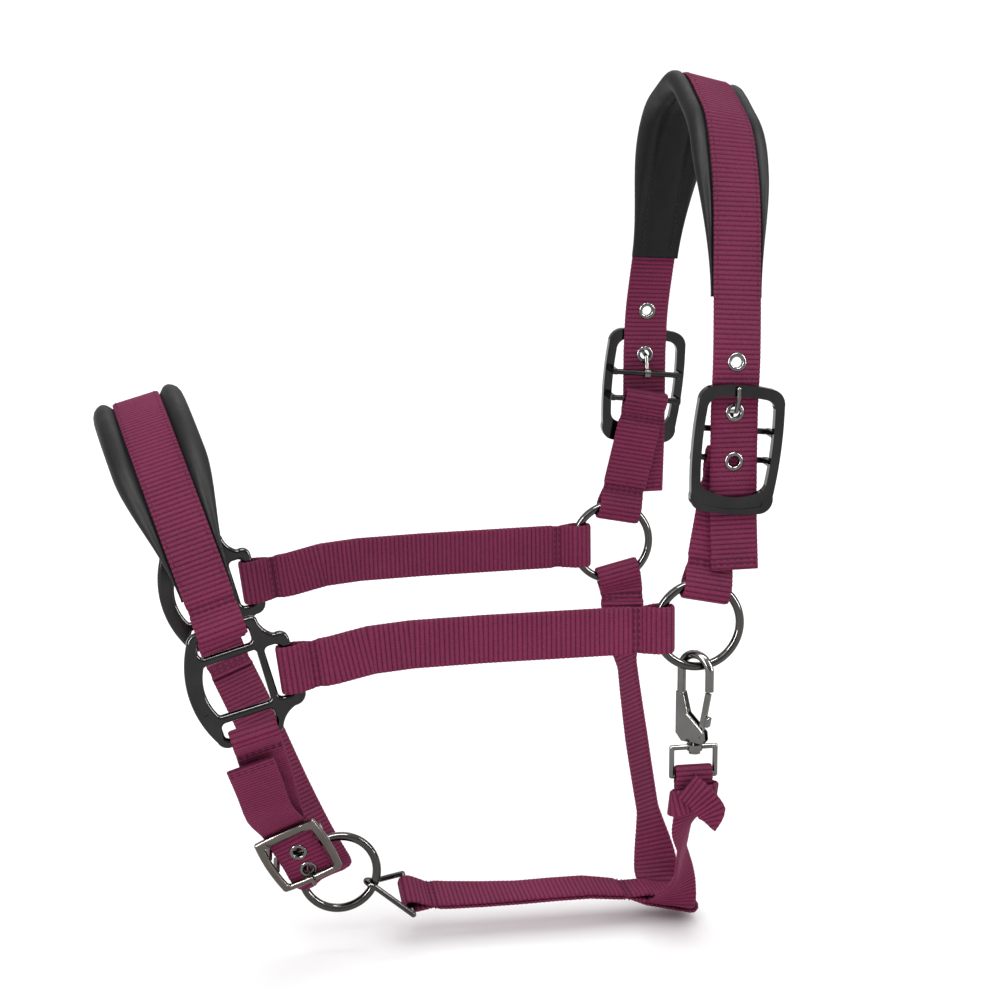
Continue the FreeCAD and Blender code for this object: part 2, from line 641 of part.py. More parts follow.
chin_path = folded(chin_line, fold_path(chin_line, (SQUARE_FOLD, 2.6, 22.0)))
chin_strap = band(chin_path)

free_hole = on_chin_buckle(0.4, STRAP_BACK + 1.05)
tongue_hole = on_chin_buckle(-11.9, STRAP_BACK + 1.05)
chin_eyelet_spots = [snapped(free_hole, chin_path), snapped(tongue_hole, chin_path)]
for p, n in chin_eyelet_spots:
    chin_strap = chin_strap.cut(eyelet_hole(p, n))
save(chin_strap, "chin_strap")
save(Part.makeCompound([eyelet(p, n) for p, n in chin_eyelet_spots]), "chin_eyelets")

# ---- jaw link: a wire triangle from the chin ring to the jaw strap ----
LINK_WIRE = 1.6
LINK_BASE = V(0.0, -162.6, -433.6)
LINK_HALF = 19.4
LINK_TURN = 4.6          # radius of the bend round the chin ring's wire
link_side = V(cos(radians(15.0)), 0, -sin(radians(15.0)))
link_reach = V(0, LINK_BASE.y - CHIN_RING_AT.y, LINK_BASE.z - CHIN_RING_AT.z)
LINK_BEND = CHIN_RING_AT + unit(link_reach) * CHIN_RING_RADIUS
link_corners = [LINK_BASE + link_side * side * LINK_HALF for side in (1, -1)]
link_ends = [LINK_BEND + V(side * LINK_TURN, 0, 0) for side in (1, -1)]
bend = Part.makeTorus(LINK_TURN, LINK_WIRE, LINK_BEND, V(1, 0, 0).cross(unit(link_reach)))
inner_side = Part.makeBox(20, 20, 20, V(-10, 0, -10))
bend = bend.common(place(inner_side, LINK_BEND, V(1, 0, 0), unit(link_reach) * -1.0))
jaw_link = joined(
    [bend, rod(link_corners[0], link_corners[1], LINK_WIRE)]
    + [rod(a, b, LINK_WIRE) for a, b in zip(link_corners, link_ends)]
    + [Part.makeSphere(LINK_WIRE, p) for p in link_corners + link_ends])
save(jaw_link, "jaw_link")

# ---- jaw strap: doubled webbing, flat under the jaw ----
THROAT_WIDE = unit(V(0, 0.97, -0.24))
throat_low = V(0, -16.0, -443.9) - V(1, 0, 0).cross(THROAT_WIDE) * 1.35
jaw_end = throat_low + THROAT_WIDE * 13.2
jaw_knots = [
    (LINK_BASE, link_side),
    (V(0, -140.0, -435.8), V(1, 0, -0.20)),
    (V(0, -100.0, -437.2), V(1, 0, -0.08)),
    (V(0, -62.0, -436.8), V(1, 0, -0.08)),
    (jaw_end - THROAT_WIDE * 29.0, V(1, 0, 0)),
    (jaw_end, V(1, 0, 0))]
JAW_STEPS = 2
jaw_points = smooth([p for p, w in jaw_knots[:-1]], JAW_STEPS) + [jaw_knots[-1][0]]
jaw_wide = []
for i in range(len(jaw_knots) - 2):
    for k in range(JAW_STEPS):
        jaw_wide.append(unit(mix(jaw_knots[i][1], jaw_knots[i + 1][1], k / JAW_STEPS)))
jaw_wide += [jaw_knots[-2][1], jaw_knots[-1][1]]
jaw_line = facing_out(framed(jaw_points, jaw_wide), V(0, 0, 1))
THROAT_PLY = WEB_THICK / 2 + 0.6
save(doubled(jaw_line, (LINK_WIRE + 0.5, 2.0), (THROAT_PLY, 26.5), 8.0), "jaw_strap")

# ---- throat strap: sewn round the right ring, under the jaw, tied to the snap ----
EYE_AT = V(96.0, -27.4, -335.0)
EYE_WIDE = 26.0
EYE_TALL = 18.0
EYE_ROD = 1.4
EYE_STRAP = 19.6         # the strap is bunched where it goes through the eye
eye_half = EYE_WIDE / 2 - EYE_ROD
eye_low = EYE_AT - V(0, 0, EYE_TALL / 2 - EYE_ROD)
far_ring = V(-RING_X, RING_Y, RING_Z)
throat_drop = unit(V(0, 0.20, -0.98))
throat_top = far_ring + throat_drop * RING_CHORD
throat_knots = [
    (throat_top, V(0, 0.98, 0.20)),
    (throat_top + throat_drop * 14.0, V(0, 0.98, 0.20)),
    (V(-86.0, -21.2, -308.0), V(0.45, 0.85, 0.30)),
    (V(-75.0, -22.0, -330.0), V(0.86, 0.20, 0.42)),
    (V(-55.0, -21.0, -368.0), V(0.84, 0.28, 0.42)),
    (V(-36.0, -18.6, -406.0), V(0.86, 0.26, 0.42)),
    (V(-24.0, -16.8, -429.0), V(0.55, 0.80, 0.10)),
    (V(-18.6, -16.0, -440.0), THROAT_WIDE),
    (V(-13.6, -16.0, -443.9), THROAT_WIDE),
    (V(13.6, -16.0, -443.9), THROAT_WIDE),
    (V(18.6, -16.2, -440.0), THROAT_WIDE),
    (V(26.0, -17.6, -430.0), V(-0.35, 0.90, 0.00)),
    (V(46.0, -21.2, -409.0), V(-0.80, 0.42, 0.42)),
    (V(74.0, -26.0, -381.0), V(-0.78, 0.48, 0.42)),
    (V(93.0, -27.3, -362.0), V(-0.10, 0.99, 0.0)),
    (EYE_AT + V(0, 0, -13.0), V(0, 1, 0)),
    (eye_low + V(0, 0, 2.0), V(0, 1, 0))]
THROAT_STEPS = 3
throat_points = smooth([p for p, w in throat_knots], THROAT_STEPS)
throat_wide = []
for i in range(len(throat_knots) - 1):
    for k in range(THROAT_STEPS):
        throat_wide.append(unit(mix(throat_knots[i][1], throat_knots[i + 1][1], k / THROAT_STEPS)))
throat_wide.append(throat_knots[-1][1])
throat_line = facing_out(framed(throat_points, throat_wide), V(-1, 0, 0))
throat_path = fold_path(throat_line, (RING_FOLD, 4.7, 22.0), (EYE_ROD, 4.0, 18.0))


def throat_width(p):
    """Full width along the run, bunched towards the snap's eye."""
    bunched = ease((p.z + 376.0) / 16.0) if p.x > 60.0 else 0.0
    return WEB_WIDTH + (EYE_STRAP - WEB_WIDTH) * bunched


throat_strap = band(folded(throat_line, throat_path), throat_width)
save(throat_strap, "throat_strap")

# the tied end: a turn round the strap below the eye and a short tail beside it
KNOT_TURN = (26.0, 16.0, 12.0)
KNOT_WALL = 2.0
knot_at = V(96.0, -27.4, -355.5)
knot_turn = rounded_box(KNOT_TURN[0], KNOT_TURN[1], 5.0, KNOT_TURN[2])
knot_turn = knot_turn.cut(rounded_box(
    KNOT_TURN[0] - 2 * KNOT_WALL, KNOT_TURN[1] - 2 * KNOT_WALL, 3.0, 2 * KNOT_TURN[2]))
knot_turn = place(knot_turn, knot_at, V(0, 1, 0), V(-1, 0, 0))
knot_tail = band(straight(V(105.4, -22.5, -345.0), V(105.4, -24.0, -372.0), V(0, 1, 0)),
                 lambda p: 15.0)
save(Part.makeCompound([knot_turn, knot_tail]), "throat_strap_knot")

# ---- snap hook: it hangs the throat strap on the left ring ----
SNAP_AT = V(96.0, -26.9, -286.6)     # middle of the bow
STEM_RADIUS = 1.8
eye_top = EYE_TALL / 2 - EYE_ROD
eye_corners = [EYE_AT + V(0, y, z) for y, z in (
    (-eye_half, -eye_top), (eye_half, -eye_top), (eye_half, eye_top), (-eye_half, eye_top))]
boss_foot = V(SNAP_AT.x, SNAP_AT.y, EYE_AT.z + eye_top - EYE_ROD - 0.2)
swivel_eye = joined(
    [rod(a, b, EYE_ROD) for a, b in zip(eye_corners, eye_corners[1:] + eye_corners[:1])]
    + [Part.makeSphere(EYE_ROD, p) for p in eye_corners]
    + [Part.makeCylinder(4.2, 2 * EYE_ROD + 0.4, boss_foot)])
stem_hole = Part.makeCylinder(STEM_RADIUS + 0.08, 12.0, boss_foot - V(0, 0, 3.0))
save(swivel_eye.cut(stem_hole), "snap_swivel_eye")

SNAP_OUT = V(sin(radians(SNAP_TURN)), cos(radians(SNAP_TURN)), 0)
SNAP_UP = V(0, 0, 1)
BOW_RADIUS = 8.7
SNAP_ROD = 2.3
GATE_PIVOT = (3.6, -34.6)
GATE_PIN = 1.0
CHEEK_SLOT = 2.4
GATE_THICK = 2.0


def snap_place(shape):
    """From the snap's own plane, x across the bow and y up, to where it hangs."""
    return place(shape, SNAP_AT, SNAP_OUT, SNAP_UP)


def half_torus():
    whole = Part.makeTorus(BOW_RADIUS, SNAP_ROD, V(0, 0, 0), V(0, 0, 1))
    keep = Part.makeBox(40, 20, 10, V(-20, 0, -5))
    return whole.common(keep)


web_outline = [(-11.0, -12.0), (-6.6, -12.0), (-3.6, -23.0), (6.8, -31.6), (7.4, -36.0),
               (5.2, -38.6), (-7.4, -38.6), (-11.0, -34.5)]
web = Part.Face(Part.makePolygon([V(x, y, -SNAP_ROD) for x, y in web_outline + web_outline[:1]]))
web = softened(web.extrude(V(0, 0, 2 * SNAP_ROD)), 0.7)
slot = Part.makeBox(13.0, 17.5, CHEEK_SLOT, V(-4.1, -37.4, -CHEEK_SLOT / 2))
pin_hole = Part.makeCylinder(GATE_PIN, 10, V(*GATE_PIVOT, -5))
stem = joined([rod(V(0, -38.2, 0), V(0, -43.0, 0), STEM_RADIUS),
               Part.makeCylinder(3.1, 1.4, V(0, -44.2, 0), V(0, 1, 0))])
snap_body = joined([
    half_torus(),
    rod(V(-BOW_RADIUS, 0, 0), V(-BOW_RADIUS, -14.0, 0), SNAP_ROD),
    rod(V(BOW_RADIUS, 0, 0), V(BOW_RADIUS, -9.6, 0), SNAP_ROD),
    web.cut(slot).cut(pin_hole),
    stem])
save(snap_place(snap_body), "snap_hook_body")

gate_top = (8.3, -10.2)
gate_lean = atan2(gate_top[0] - GATE_PIVOT[0], gate_top[1] - GATE_PIVOT[1])
gate_long = sqrt((gate_top[0] - GATE_PIVOT[0]) ** 2 + (gate_top[1] - GATE_PIVOT[1]) ** 2)
gate = Part.makeBox(3.2, gate_long - 0.4, GATE_THICK, V(-1.6, 0, -GATE_THICK / 2))
gate = softened(gate, 0.4)
gate_foot = Part.makeCylinder(2.0, GATE_THICK, V(0, 0, -GATE_THICK / 2))
thumb = softened(Part.makeBox(2.8, 5.6, 3.2, V(1.3, 6.4, -1.6)), 0.8)
gate = joined([gate, gate_foot, thumb])
gate = gate.cut(Part.makeCylinder(GATE_PIN + 0.06, 10, V(0, 0, -5)))
gate.rotate(V(0, 0, 0), V(0, 0, 1), -degrees(gate_lean))
gate = gate.translated(V(*GATE_PIVOT, 0))
save(snap_place(gate), "snap_gate")
pin = Part.makeCylinder(GATE_PIN, 2 * SNAP_ROD + 0.6, V(*GATE_PIVOT, -SNAP_ROD - 0.3))
save(snap_place(pin), "snap_gate_pin")
spring = Part.makeBox(0.6, 9.0, 1.8, V(-3.9, -36.6, -0.9))
save(snap_place(spring), "snap_gate_spring")
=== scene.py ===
import json
from math import cos, pi, radians, sin, sqrt

import bmesh
import bpy
import numpy as np
from mathutils import Matrix, Vector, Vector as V


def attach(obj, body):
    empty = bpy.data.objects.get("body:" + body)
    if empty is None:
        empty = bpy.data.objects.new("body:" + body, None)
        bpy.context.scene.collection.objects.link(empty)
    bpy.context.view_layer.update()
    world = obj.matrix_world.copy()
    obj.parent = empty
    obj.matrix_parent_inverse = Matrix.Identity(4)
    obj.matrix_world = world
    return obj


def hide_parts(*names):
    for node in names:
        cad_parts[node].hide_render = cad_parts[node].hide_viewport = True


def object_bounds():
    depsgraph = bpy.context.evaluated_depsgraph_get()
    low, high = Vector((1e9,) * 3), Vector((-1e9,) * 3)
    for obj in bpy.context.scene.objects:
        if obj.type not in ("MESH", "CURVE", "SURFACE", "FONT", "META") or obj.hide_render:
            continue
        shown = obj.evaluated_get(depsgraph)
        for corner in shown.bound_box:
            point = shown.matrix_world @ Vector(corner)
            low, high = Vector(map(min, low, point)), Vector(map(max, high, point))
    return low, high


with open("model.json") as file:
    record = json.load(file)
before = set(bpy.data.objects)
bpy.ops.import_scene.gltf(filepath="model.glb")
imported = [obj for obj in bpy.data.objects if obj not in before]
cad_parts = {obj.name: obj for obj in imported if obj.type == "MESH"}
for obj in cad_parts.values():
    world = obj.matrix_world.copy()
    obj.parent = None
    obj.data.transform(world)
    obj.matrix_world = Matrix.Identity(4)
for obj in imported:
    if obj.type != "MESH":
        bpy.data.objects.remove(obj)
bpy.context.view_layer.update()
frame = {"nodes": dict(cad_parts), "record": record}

# Padded webbing headcollar. Lengths are in millimetres until a mesh is made;
# the frame is the CAD's: +X the horse's left, +Y the back of the head, +Z up.
MM = 0.001

# ---- sizes shared with the CAD ----
WEB_WIDTH = 25.0
WEB_THICK = 2.0
PLY_GAP = 0.1
BAR_GAP = 0.4
FOLD_STEPS = 14
CROSSBAR = 1.6
RING_FOLD = 2.9
SQUARE_FOLD = 2.6
RING_AT = V((95.5, -25.8, -262.3))
RING_MIDDLE = 22.1        # radius of the ring wire's middle line
RING_CHORD = sqrt(RING_MIDDLE ** 2 - (WEB_WIDTH / 2) ** 2) - 0.4
SQUARE_AT = V((92.0, -262.8, -281.1))
SQUARE_TILT = radians(16.0)
SQ_BACK = V((0, cos(SQUARE_TILT), sin(SQUARE_TILT)))
SQ_UP = V((0, -sin(SQUARE_TILT), cos(SQUARE_TILT)))
BUCKLE_AT = V((97.4, -8.0, -170.9))
BUCKLE_LEAN = radians(5.5)
BK_UP = V((0, sin(BUCKLE_LEAN), cos(BUCKLE_LEAN)))
CHIN_BUCKLE_AT = V((25.4, -225.6, -398.1))
CB_WIDE = V((0.235, 0.868, 0.438)).normalized()
CB_UP = V((0.177, -0.482, 0.858)).normalized()
CB_OUT = CB_WIDE.cross(CB_UP)
CB_BACK = -9.4

# ---- looks ----
RIB_PITCH = 2.5          # cross ribs of the webbing
RIB_DEPTH = 0.34
ROW_STEP = 0.5           # distance between mesh rows along a strap
SCALLOP = 0.22           # how far the selvedge waves in and out
STITCH_PITCH = 3.3
STITCH_LONG = 2.3
STITCH_RADIUS = 0.42
EYELET_BORE = 2.6
EYELET_HOLE = 2.9        # the hole the rivet fills in the strap
EYELET_FACETS = 48
EDGE_LIFT = WEB_THICK / 2 - 0.1   # stitches sit just in the face of a single ply


FLOOR_SIDE = 60          # m
FLOOR_GAP = 0.004        # m under the lowest point
HORIZON_LIGHT = 0.40
OVERHEAD_LIGHT = 1.35


# ---- strap geometry: a station is (middle, thickness direction, width direction) ----
def mix(a, b, t):
    return a * (1.0 - t) + b * t


def ease(t):
    t = min(max(t, 0.0), 1.0)
    return t * t * (3.0 - 2.0 * t)


def mirrored(stations):
    flip = V((-1, 1, 1))
    return [(p * flip, n * flip, w * flip) for p, n, w in stations]


def smooth(points, steps):
    ends = [points[0] * 2 - points[1]] + points + [points[-1] * 2 - points[-2]]
    out = []
    for i in range(1, len(ends) - 2):
        p0, p1, p2, p3 = ends[i - 1:i + 3]
        for k in range(steps):
            t = k / steps
            out.append((p1 * 2 + (p2 - p0) * t + (p0 * 2 - p1 * 5 + p2 * 4 - p3) * t ** 2
                        + (p1 * 3 - p0 - p2 * 3 + p3) * t ** 3) * 0.5)
    out.append(points[-1])
    return out


def framed(points, widths):
    out = []
    last = len(points) - 1
    for i, p in enumerate(points):
        run = (points[min(i + 1, last)] - points[max(i - 1, 0)]).normalized()
        wide = (widths[i] - run * widths[i].dot(run)).normalized()
        out.append((p, wide.cross(run), wide))
    return out


def through(knots, steps):
    """Stations on a smooth curve through knots of (point, width direction)."""
    points = smooth([p for p, w in knots], steps)
    wide = [mix(knots[i][1], knots[i + 1][1], k / steps)
            for i in range(len(knots) - 1) for k in range(steps)]
    return framed(points, wide + [knots[-1][1]])


def facing(stations, outward, at=0):
    side = 1.0 if stations[at][1].dot(outward) > 0 else -1.0
    return [(p, n * side, w) for p, n, w in stations]


def spans(line):
    out = [0.0]
    for a, b in zip(line, line[1:]):
        out.append(out[-1] + (b[0] - a[0]).length)
    return out


def along(line, s):
    for i in range(len(line) - 1):
        a, b = line[i], line[i + 1]
        length = (b[0] - a[0]).length
        if s <= length or i == len(line) - 2:
            t = s / length
            c = min(max(t, 0.0), 1.0)
            return (mix(a[0], b[0], t), mix(a[1], b[1], c).normalized(),
                    mix(a[2], b[2], c).normalized(), (b[0] - a[0]).normalized())
        s -= length


def half_turn(at, turn, side):
    angles = [pi * k / FOLD_STEPS for k in range(1, FOLD_STEPS)]
    return [(at + side * turn * sin(a), side * turn * cos(a)) for a in angles]


def fold_path(line, start, end=None, taper=6.0):
    """The strip as (along, outwards) from its middle line; start and end give
    (bar radius, flat length over the bar, length of the turned-back ply)."""
    total = spans(line)[-1]
    shut = (WEB_THICK + PLY_GAP) / 2
    bar, flat, tail = start
    turn = bar + BAR_GAP + WEB_THICK / 2
    inner = [s for s in spans(line) if s > flat + taper + 2]
    path = [(tail, -shut)]
    path += [(s, -shut) for s in reversed(inner) if s < tail - 2]
    path += [(flat + taper, -shut), (flat, -turn), (0.0, -turn)]
    path += half_turn(0.0, turn, -1)
    path += [(0.0, turn), (flat, turn), (flat + taper, shut)]
    if end is None:
        return path + [(s, shut) for s in inner if s < total - 1] + [(total, shut)]
    bar, flat, tail = end
    turn = bar + BAR_GAP + WEB_THICK / 2
    path += [(s, shut) for s in inner if s < total - flat - taper - 2]
    path += [(total - flat - taper, shut), (total - flat, turn), (total, turn)]
    path += half_turn(total, turn, 1)
    path += [(total, -turn), (total - flat, -turn), (total - flat - taper, -shut)]
    path += [(s, -shut) for s in reversed(inner) if total - tail + 2 < s < total - flat - taper - 2]
    return path + [(total - tail, -shut)]


def folded(line, path):
    out = []
    for s, q in path:
        p, n, w, run = along(line, s)
        out.append((p + n * q, n, w))
    return out


def doubled(line, start, end, taper=6.0):
    total = spans(line)[-1]
    return folded(line, fold_path(line, (start[0], start[1], total - 14.2),
                                  (end[0], end[1], 14.0), taper))


# ---- meshes ----
def mesh_object(name, verts, faces, material, uvs=None):
    mesh = bpy.data.meshes.new(name)
    mesh.from_pydata((np.asarray(verts) * MM).tolist(), [], faces)
    if uvs is not None:
        layer = mesh.uv_layers.new(name="UVMap")
        index = np.zeros(len(mesh.loops), int)
        mesh.loops.foreach_get("vertex_index", index)
        layer.data.foreach_set("uv", np.asarray(uvs)[index].ravel())
    mesh.polygons.foreach_set("use_smooth", [True] * len(mesh.polygons))
    mesh.materials.append(material)
    obj = bpy.data.objects.new(name, mesh)
    bpy.context.scene.collection.objects.link(obj)
    work = bmesh.new()
    work.from_mesh(mesh)
    bmesh.ops.recalc_face_normals(work, faces=work.faces)
    work.to_mesh(mesh)
    work.free()
    return obj


def tube_faces(rows, ring):
    """Quads between rows of a closed ring of vertices."""
    faces = []
    for i in range(rows - 1):
        a = i * ring
        b = a + ring
        faces += [(a + j, a + (j + 1) % ring, b + (j + 1) % ring, b + j) for j in range(ring)]
    return faces


def blurred(values, reach):
    """Values smoothed along their rows, the ends kept in place."""
    if reach <= 0:
        return values
    half = int(3 * reach) + 1
    weights = np.exp(-0.5 * (np.arange(-half, half + 1) / reach) ** 2)
    weights /= weights.sum()
    half = min(half, len(values) - 1)
    weights = weights[len(weights) // 2 - half:len(weights) // 2 + half + 1]
    weights /= weights.sum()
    low = 2 * values[0] - values[half:0:-1]
    high = 2 * values[-1] - values[-2:-half - 2:-1]
    padded_rows = np.vstack([low, values, high])
    return np.stack([np.convolve(padded_rows[:, k], weights, "valid") for k in range(values.shape[1])], 1)


def fine(stations, step, blur=0.8):
    """Evenly spaced rows along stations: distance, middle, thickness, width, run."""
    places = np.array([p[:] for p, n, w in stations])
    wide = np.array([w[:] for p, n, w in stations])
    reach = np.r_[0, np.cumsum(np.linalg.norm(np.diff(places, axis=0), axis=1))]
    s = np.linspace(0, reach[-1], int(reach[-1] / step) + 2)
    places = np.stack([np.interp(s, reach, places[:, k]) for k in range(3)], 1)
    wide = np.stack([np.interp(s, reach, wide[:, k]) for k in range(3)], 1)
    places = blurred(places, blur / step)
    wide = blurred(wide, 2.0 * blur / step)
    run = np.gradient(places, axis=0)
    run /= np.linalg.norm(run, axis=1)[:, None]
    wide -= run * (wide * run).sum(1)[:, None]
    wide /= np.linalg.norm(wide, axis=1)[:, None]
    return s, places, np.cross(wide, run), wide, run


EDGE_INSETS = (0.55, 1.6, 3.4, 6.2, 9.4)


def webbing(name, stations, pinches=(), width=None, point=0.0, phase=0.0, blur=0.8, cup=0.0):
    """A ribbed strap. pinches are stations where stitching draws the plies together;
    width gives a factor at a distance; point is the length of a pointed end."""
    s, mid, thick, wide, run = fine(stations, ROW_STEP, blur)
    squeeze = np.zeros(len(s))
    for p, n, w, r in pinches:
        off = mid - np.array(p[:])
        d = off @ np.array(r[:])
        q = off @ np.array(n[:])
        near = (np.abs(q) < 4.5) * (np.linalg.norm(off, axis=1) < 14) * np.exp(-(d / 2.6) ** 4)
        mid = mid - np.outer(np.sign(q) * near * 0.42, np.array(n[:]))
        squeeze = np.maximum(squeeze, near)
    rib = np.abs(np.sin(pi * (s / RIB_PITCH + phase))) ** 0.75
    half = np.full(len(s), WEB_WIDTH / 2 - 0.15)
    if width is not None:
        half *= np.array([width(v) for v in s])
    if point:
        half *= np.clip((s[-1] - s) / point, 0.02, 1.0) ** 0.8
    half = half - 0.45 * squeeze
    high = WEB_THICK / 2 + 0.04 - RIB_DEPTH * (1 - rib) - 0.20 * squeeze
    insets = [min(i, 0.46 * 25) for i in EDGE_INSETS]
    columns = [(-1, i) for i in insets] + [(0, 0)] + [(1, i) for i in reversed(insets)]
    rows = []
    for side, inset in columns:
        x = side * (half - inset * half / 12.5) if side else np.zeros(len(s))
        fall = 0.22 if inset == EDGE_INSETS[0] else 0.0
        rows.append((x, high * (1 - fall) + cup * (x / 12.5) ** 2))
    edge = half + SCALLOP * rib - 0.05
    top = rows
    bottom = [(x, y - 2 * (y - cup * (x / 12.5) ** 2)) for x, y in reversed(rows)]
    lift = cup * (edge / 12.5) ** 2
    ring = top + [(edge - 0.12, high * 0.45 + lift), (edge, lift), (edge - 0.12, -high * 0.45 + lift)]
    ring += bottom + [(-edge + 0.12, -high * 0.45 + lift), (-edge, lift), (-edge + 0.12, high * 0.45 + lift)]
    xs = np.stack([x for x, y in ring], 1)
    ys = np.stack([y for x, y in ring], 1)
    verts = mid[:, None, :] + wide[:, None, :] * xs[:, :, None] + thick[:, None, :] * ys[:, :, None]
    count = xs.shape[1]
    faces = tube_faces(len(s), count)
    faces += [tuple(range(count)), tuple((len(s) - 1) * count + j for j in range(count))]
    uvs = np.stack([xs + 12.5, np.repeat((s + phase * RIB_PITCH)[:, None], count, 1)], 2)
    obj = mesh_object(name, verts.reshape(-1, 3), faces, WEBBING, uvs.reshape(-1, 2))
    return obj


def punched(obj, holes, radius):
    """Cut round holes; each hole is (place, axis)."""
    for place, axis in holes:
        bpy.ops.mesh.primitive_cylinder_add(vertices=40, radius=radius * MM, depth=8 * MM)
        cutter = bpy.context.object
        cutter.rotation_mode = "QUATERNION"
        cutter.rotation_quaternion = axis.to_track_quat("Z", "Y")
        cutter.location = place * MM
        cut = obj.modifiers.new("hole", "BOOLEAN")
        cut.object = cutter
        cut.operation = "DIFFERENCE"
        cut.solver = "EXACT"
        bpy.context.view_layer.update()
        graph = bpy.context.evaluated_depsgraph_get()
        mesh = bpy.data.meshes.new_from_object(obj.evaluated_get(graph))
        obj.modifiers.clear()
        obj.data = mesh
        bpy.data.objects.remove(cutter)


def stitches(name, spots, material):
    """Short threads; each spot is (middle, direction of the thread, direction off the cloth)."""
    sides, rings = 6, 5
    verts = []
    faces = []
    for p, d, n in spots:
        d = d.normalized()
        n = (n - d * n.dot(d)).normalized()
        across = d.cross(n)
        first = len(verts)
        for i in range(rings):
            t = i / (rings - 1) * 2 - 1
            centre = p + d * (t * STITCH_LONG / 2) - n * (0.34 * t * t)
            radius = STITCH_RADIUS * (1 - 0.45 * t ** 4)
            for k in range(sides):
                a = 2 * pi * k / sides
                verts.append((centre + across * (cos(a) * radius) + n * (sin(a) * radius))[:])
        for f in tube_faces(rings, sides):
            faces.append(tuple(first + v for v in f))
        faces.append(tuple(first + k for k in range(sides)))
        faces.append(tuple(first + (rings - 1) * sides + k for k in range(sides)))
    obj = mesh_object(name, verts, faces, material)
    return obj


def cross_row(line, s, lift, both=True, reach=10.6):
    """A row of stitches across a strap, on its outer face and on its inner one."""
    p, n, w, run = along(line, s)
    spots = []
    count = int(2 * reach / STITCH_PITCH) + 1
    for offset in (-1.3, 1.3):
        for k in range(count):
            x = -reach + 2 * reach * k / (count - 1)
            spots.append((p + w * x + run * offset + n * lift, w, n))
            if both:
                spots.append((p + w * x + run * offset - n * lift, w, -n))
    return spots


def edge_rows(stations, inset, lift, start, end):
    """Rows of stitches along both edges of a strap, between two distances."""
    s, mid, thick, wide, run = fine(stations, STITCH_PITCH)
    spots = []
    for i in range(len(s)):
        if start < s[i] < end:
            for side in (-1, 1):
                p = V(mid[i]) + V(wide[i]) * side * (WEB_WIDTH / 2 - inset) + V(thick[i]) * lift
                spots.append((p, V(run[i]), V(thick[i])))
    return spots


# ---- materials ----
def material(name, color, roughness, metallic=0.0):
    made = bpy.data.materials.new(name)
    made.use_nodes = True
    tree = made.node_tree
    shader = tree.nodes["Principled BSDF"]
    shader.inputs["Base Color"].default_value = (*color, 1)
    shader.inputs["Roughness"].default_value = roughness
    shader.inputs["Metallic"].default_value = metallic
    return made, tree, shader


def put(tree, kind, **settings):
    node = tree.nodes.new(kind)
    for key, value in settings.items():
        setattr(node, key, value)
    return node


def maths(tree, operation, a, b=None, c=None):
    node = put(tree, "ShaderNodeMath", operation=operation)
    for socket, value in zip(node.inputs, (a, b, c)):
        if value is None:
            continue
        if isinstance(value, (int, float)):
            socket.default_value = value
        else:
            tree.links.new(value, socket)
    return node.outputs[0]


def ramp(tree, factor, low, high):
    node = put(tree, "ShaderNodeMapRange")
    tree.links.new(factor, node.inputs[0])
    node.inputs[3].default_value = low
    node.inputs[4].default_value = high
    return node.outputs[0]


def blended(tree, factor, dark, light):
    node = put(tree, "ShaderNodeMix", data_type="RGBA")
    tree.links.new(factor, node.inputs[0])
    node.inputs[6].default_value = (*dark, 1)
    node.inputs[7].default_value = (*light, 1)
    return node.outputs[2]


def noise(tree, scale, detail=3.0, space="Object"):
    where = put(tree, "ShaderNodeTexCoord")
    node = put(tree, "ShaderNodeTexNoise")
    node.inputs["Scale"].default_value = scale
    node.inputs["Detail"].default_value = detail
    tree.links.new(where.outputs[space], node.inputs["Vector"])
    return node.outputs["Fac"]


def bumped(tree, shader, height, strength, distance):
    node = put(tree, "ShaderNodeBump")
    node.inputs["Strength"].default_value = strength
    node.inputs["Distance"].default_value = distance
    tree.links.new(height, node.inputs["Height"])
    tree.links.new(node.outputs[0], shader.inputs["Normal"])


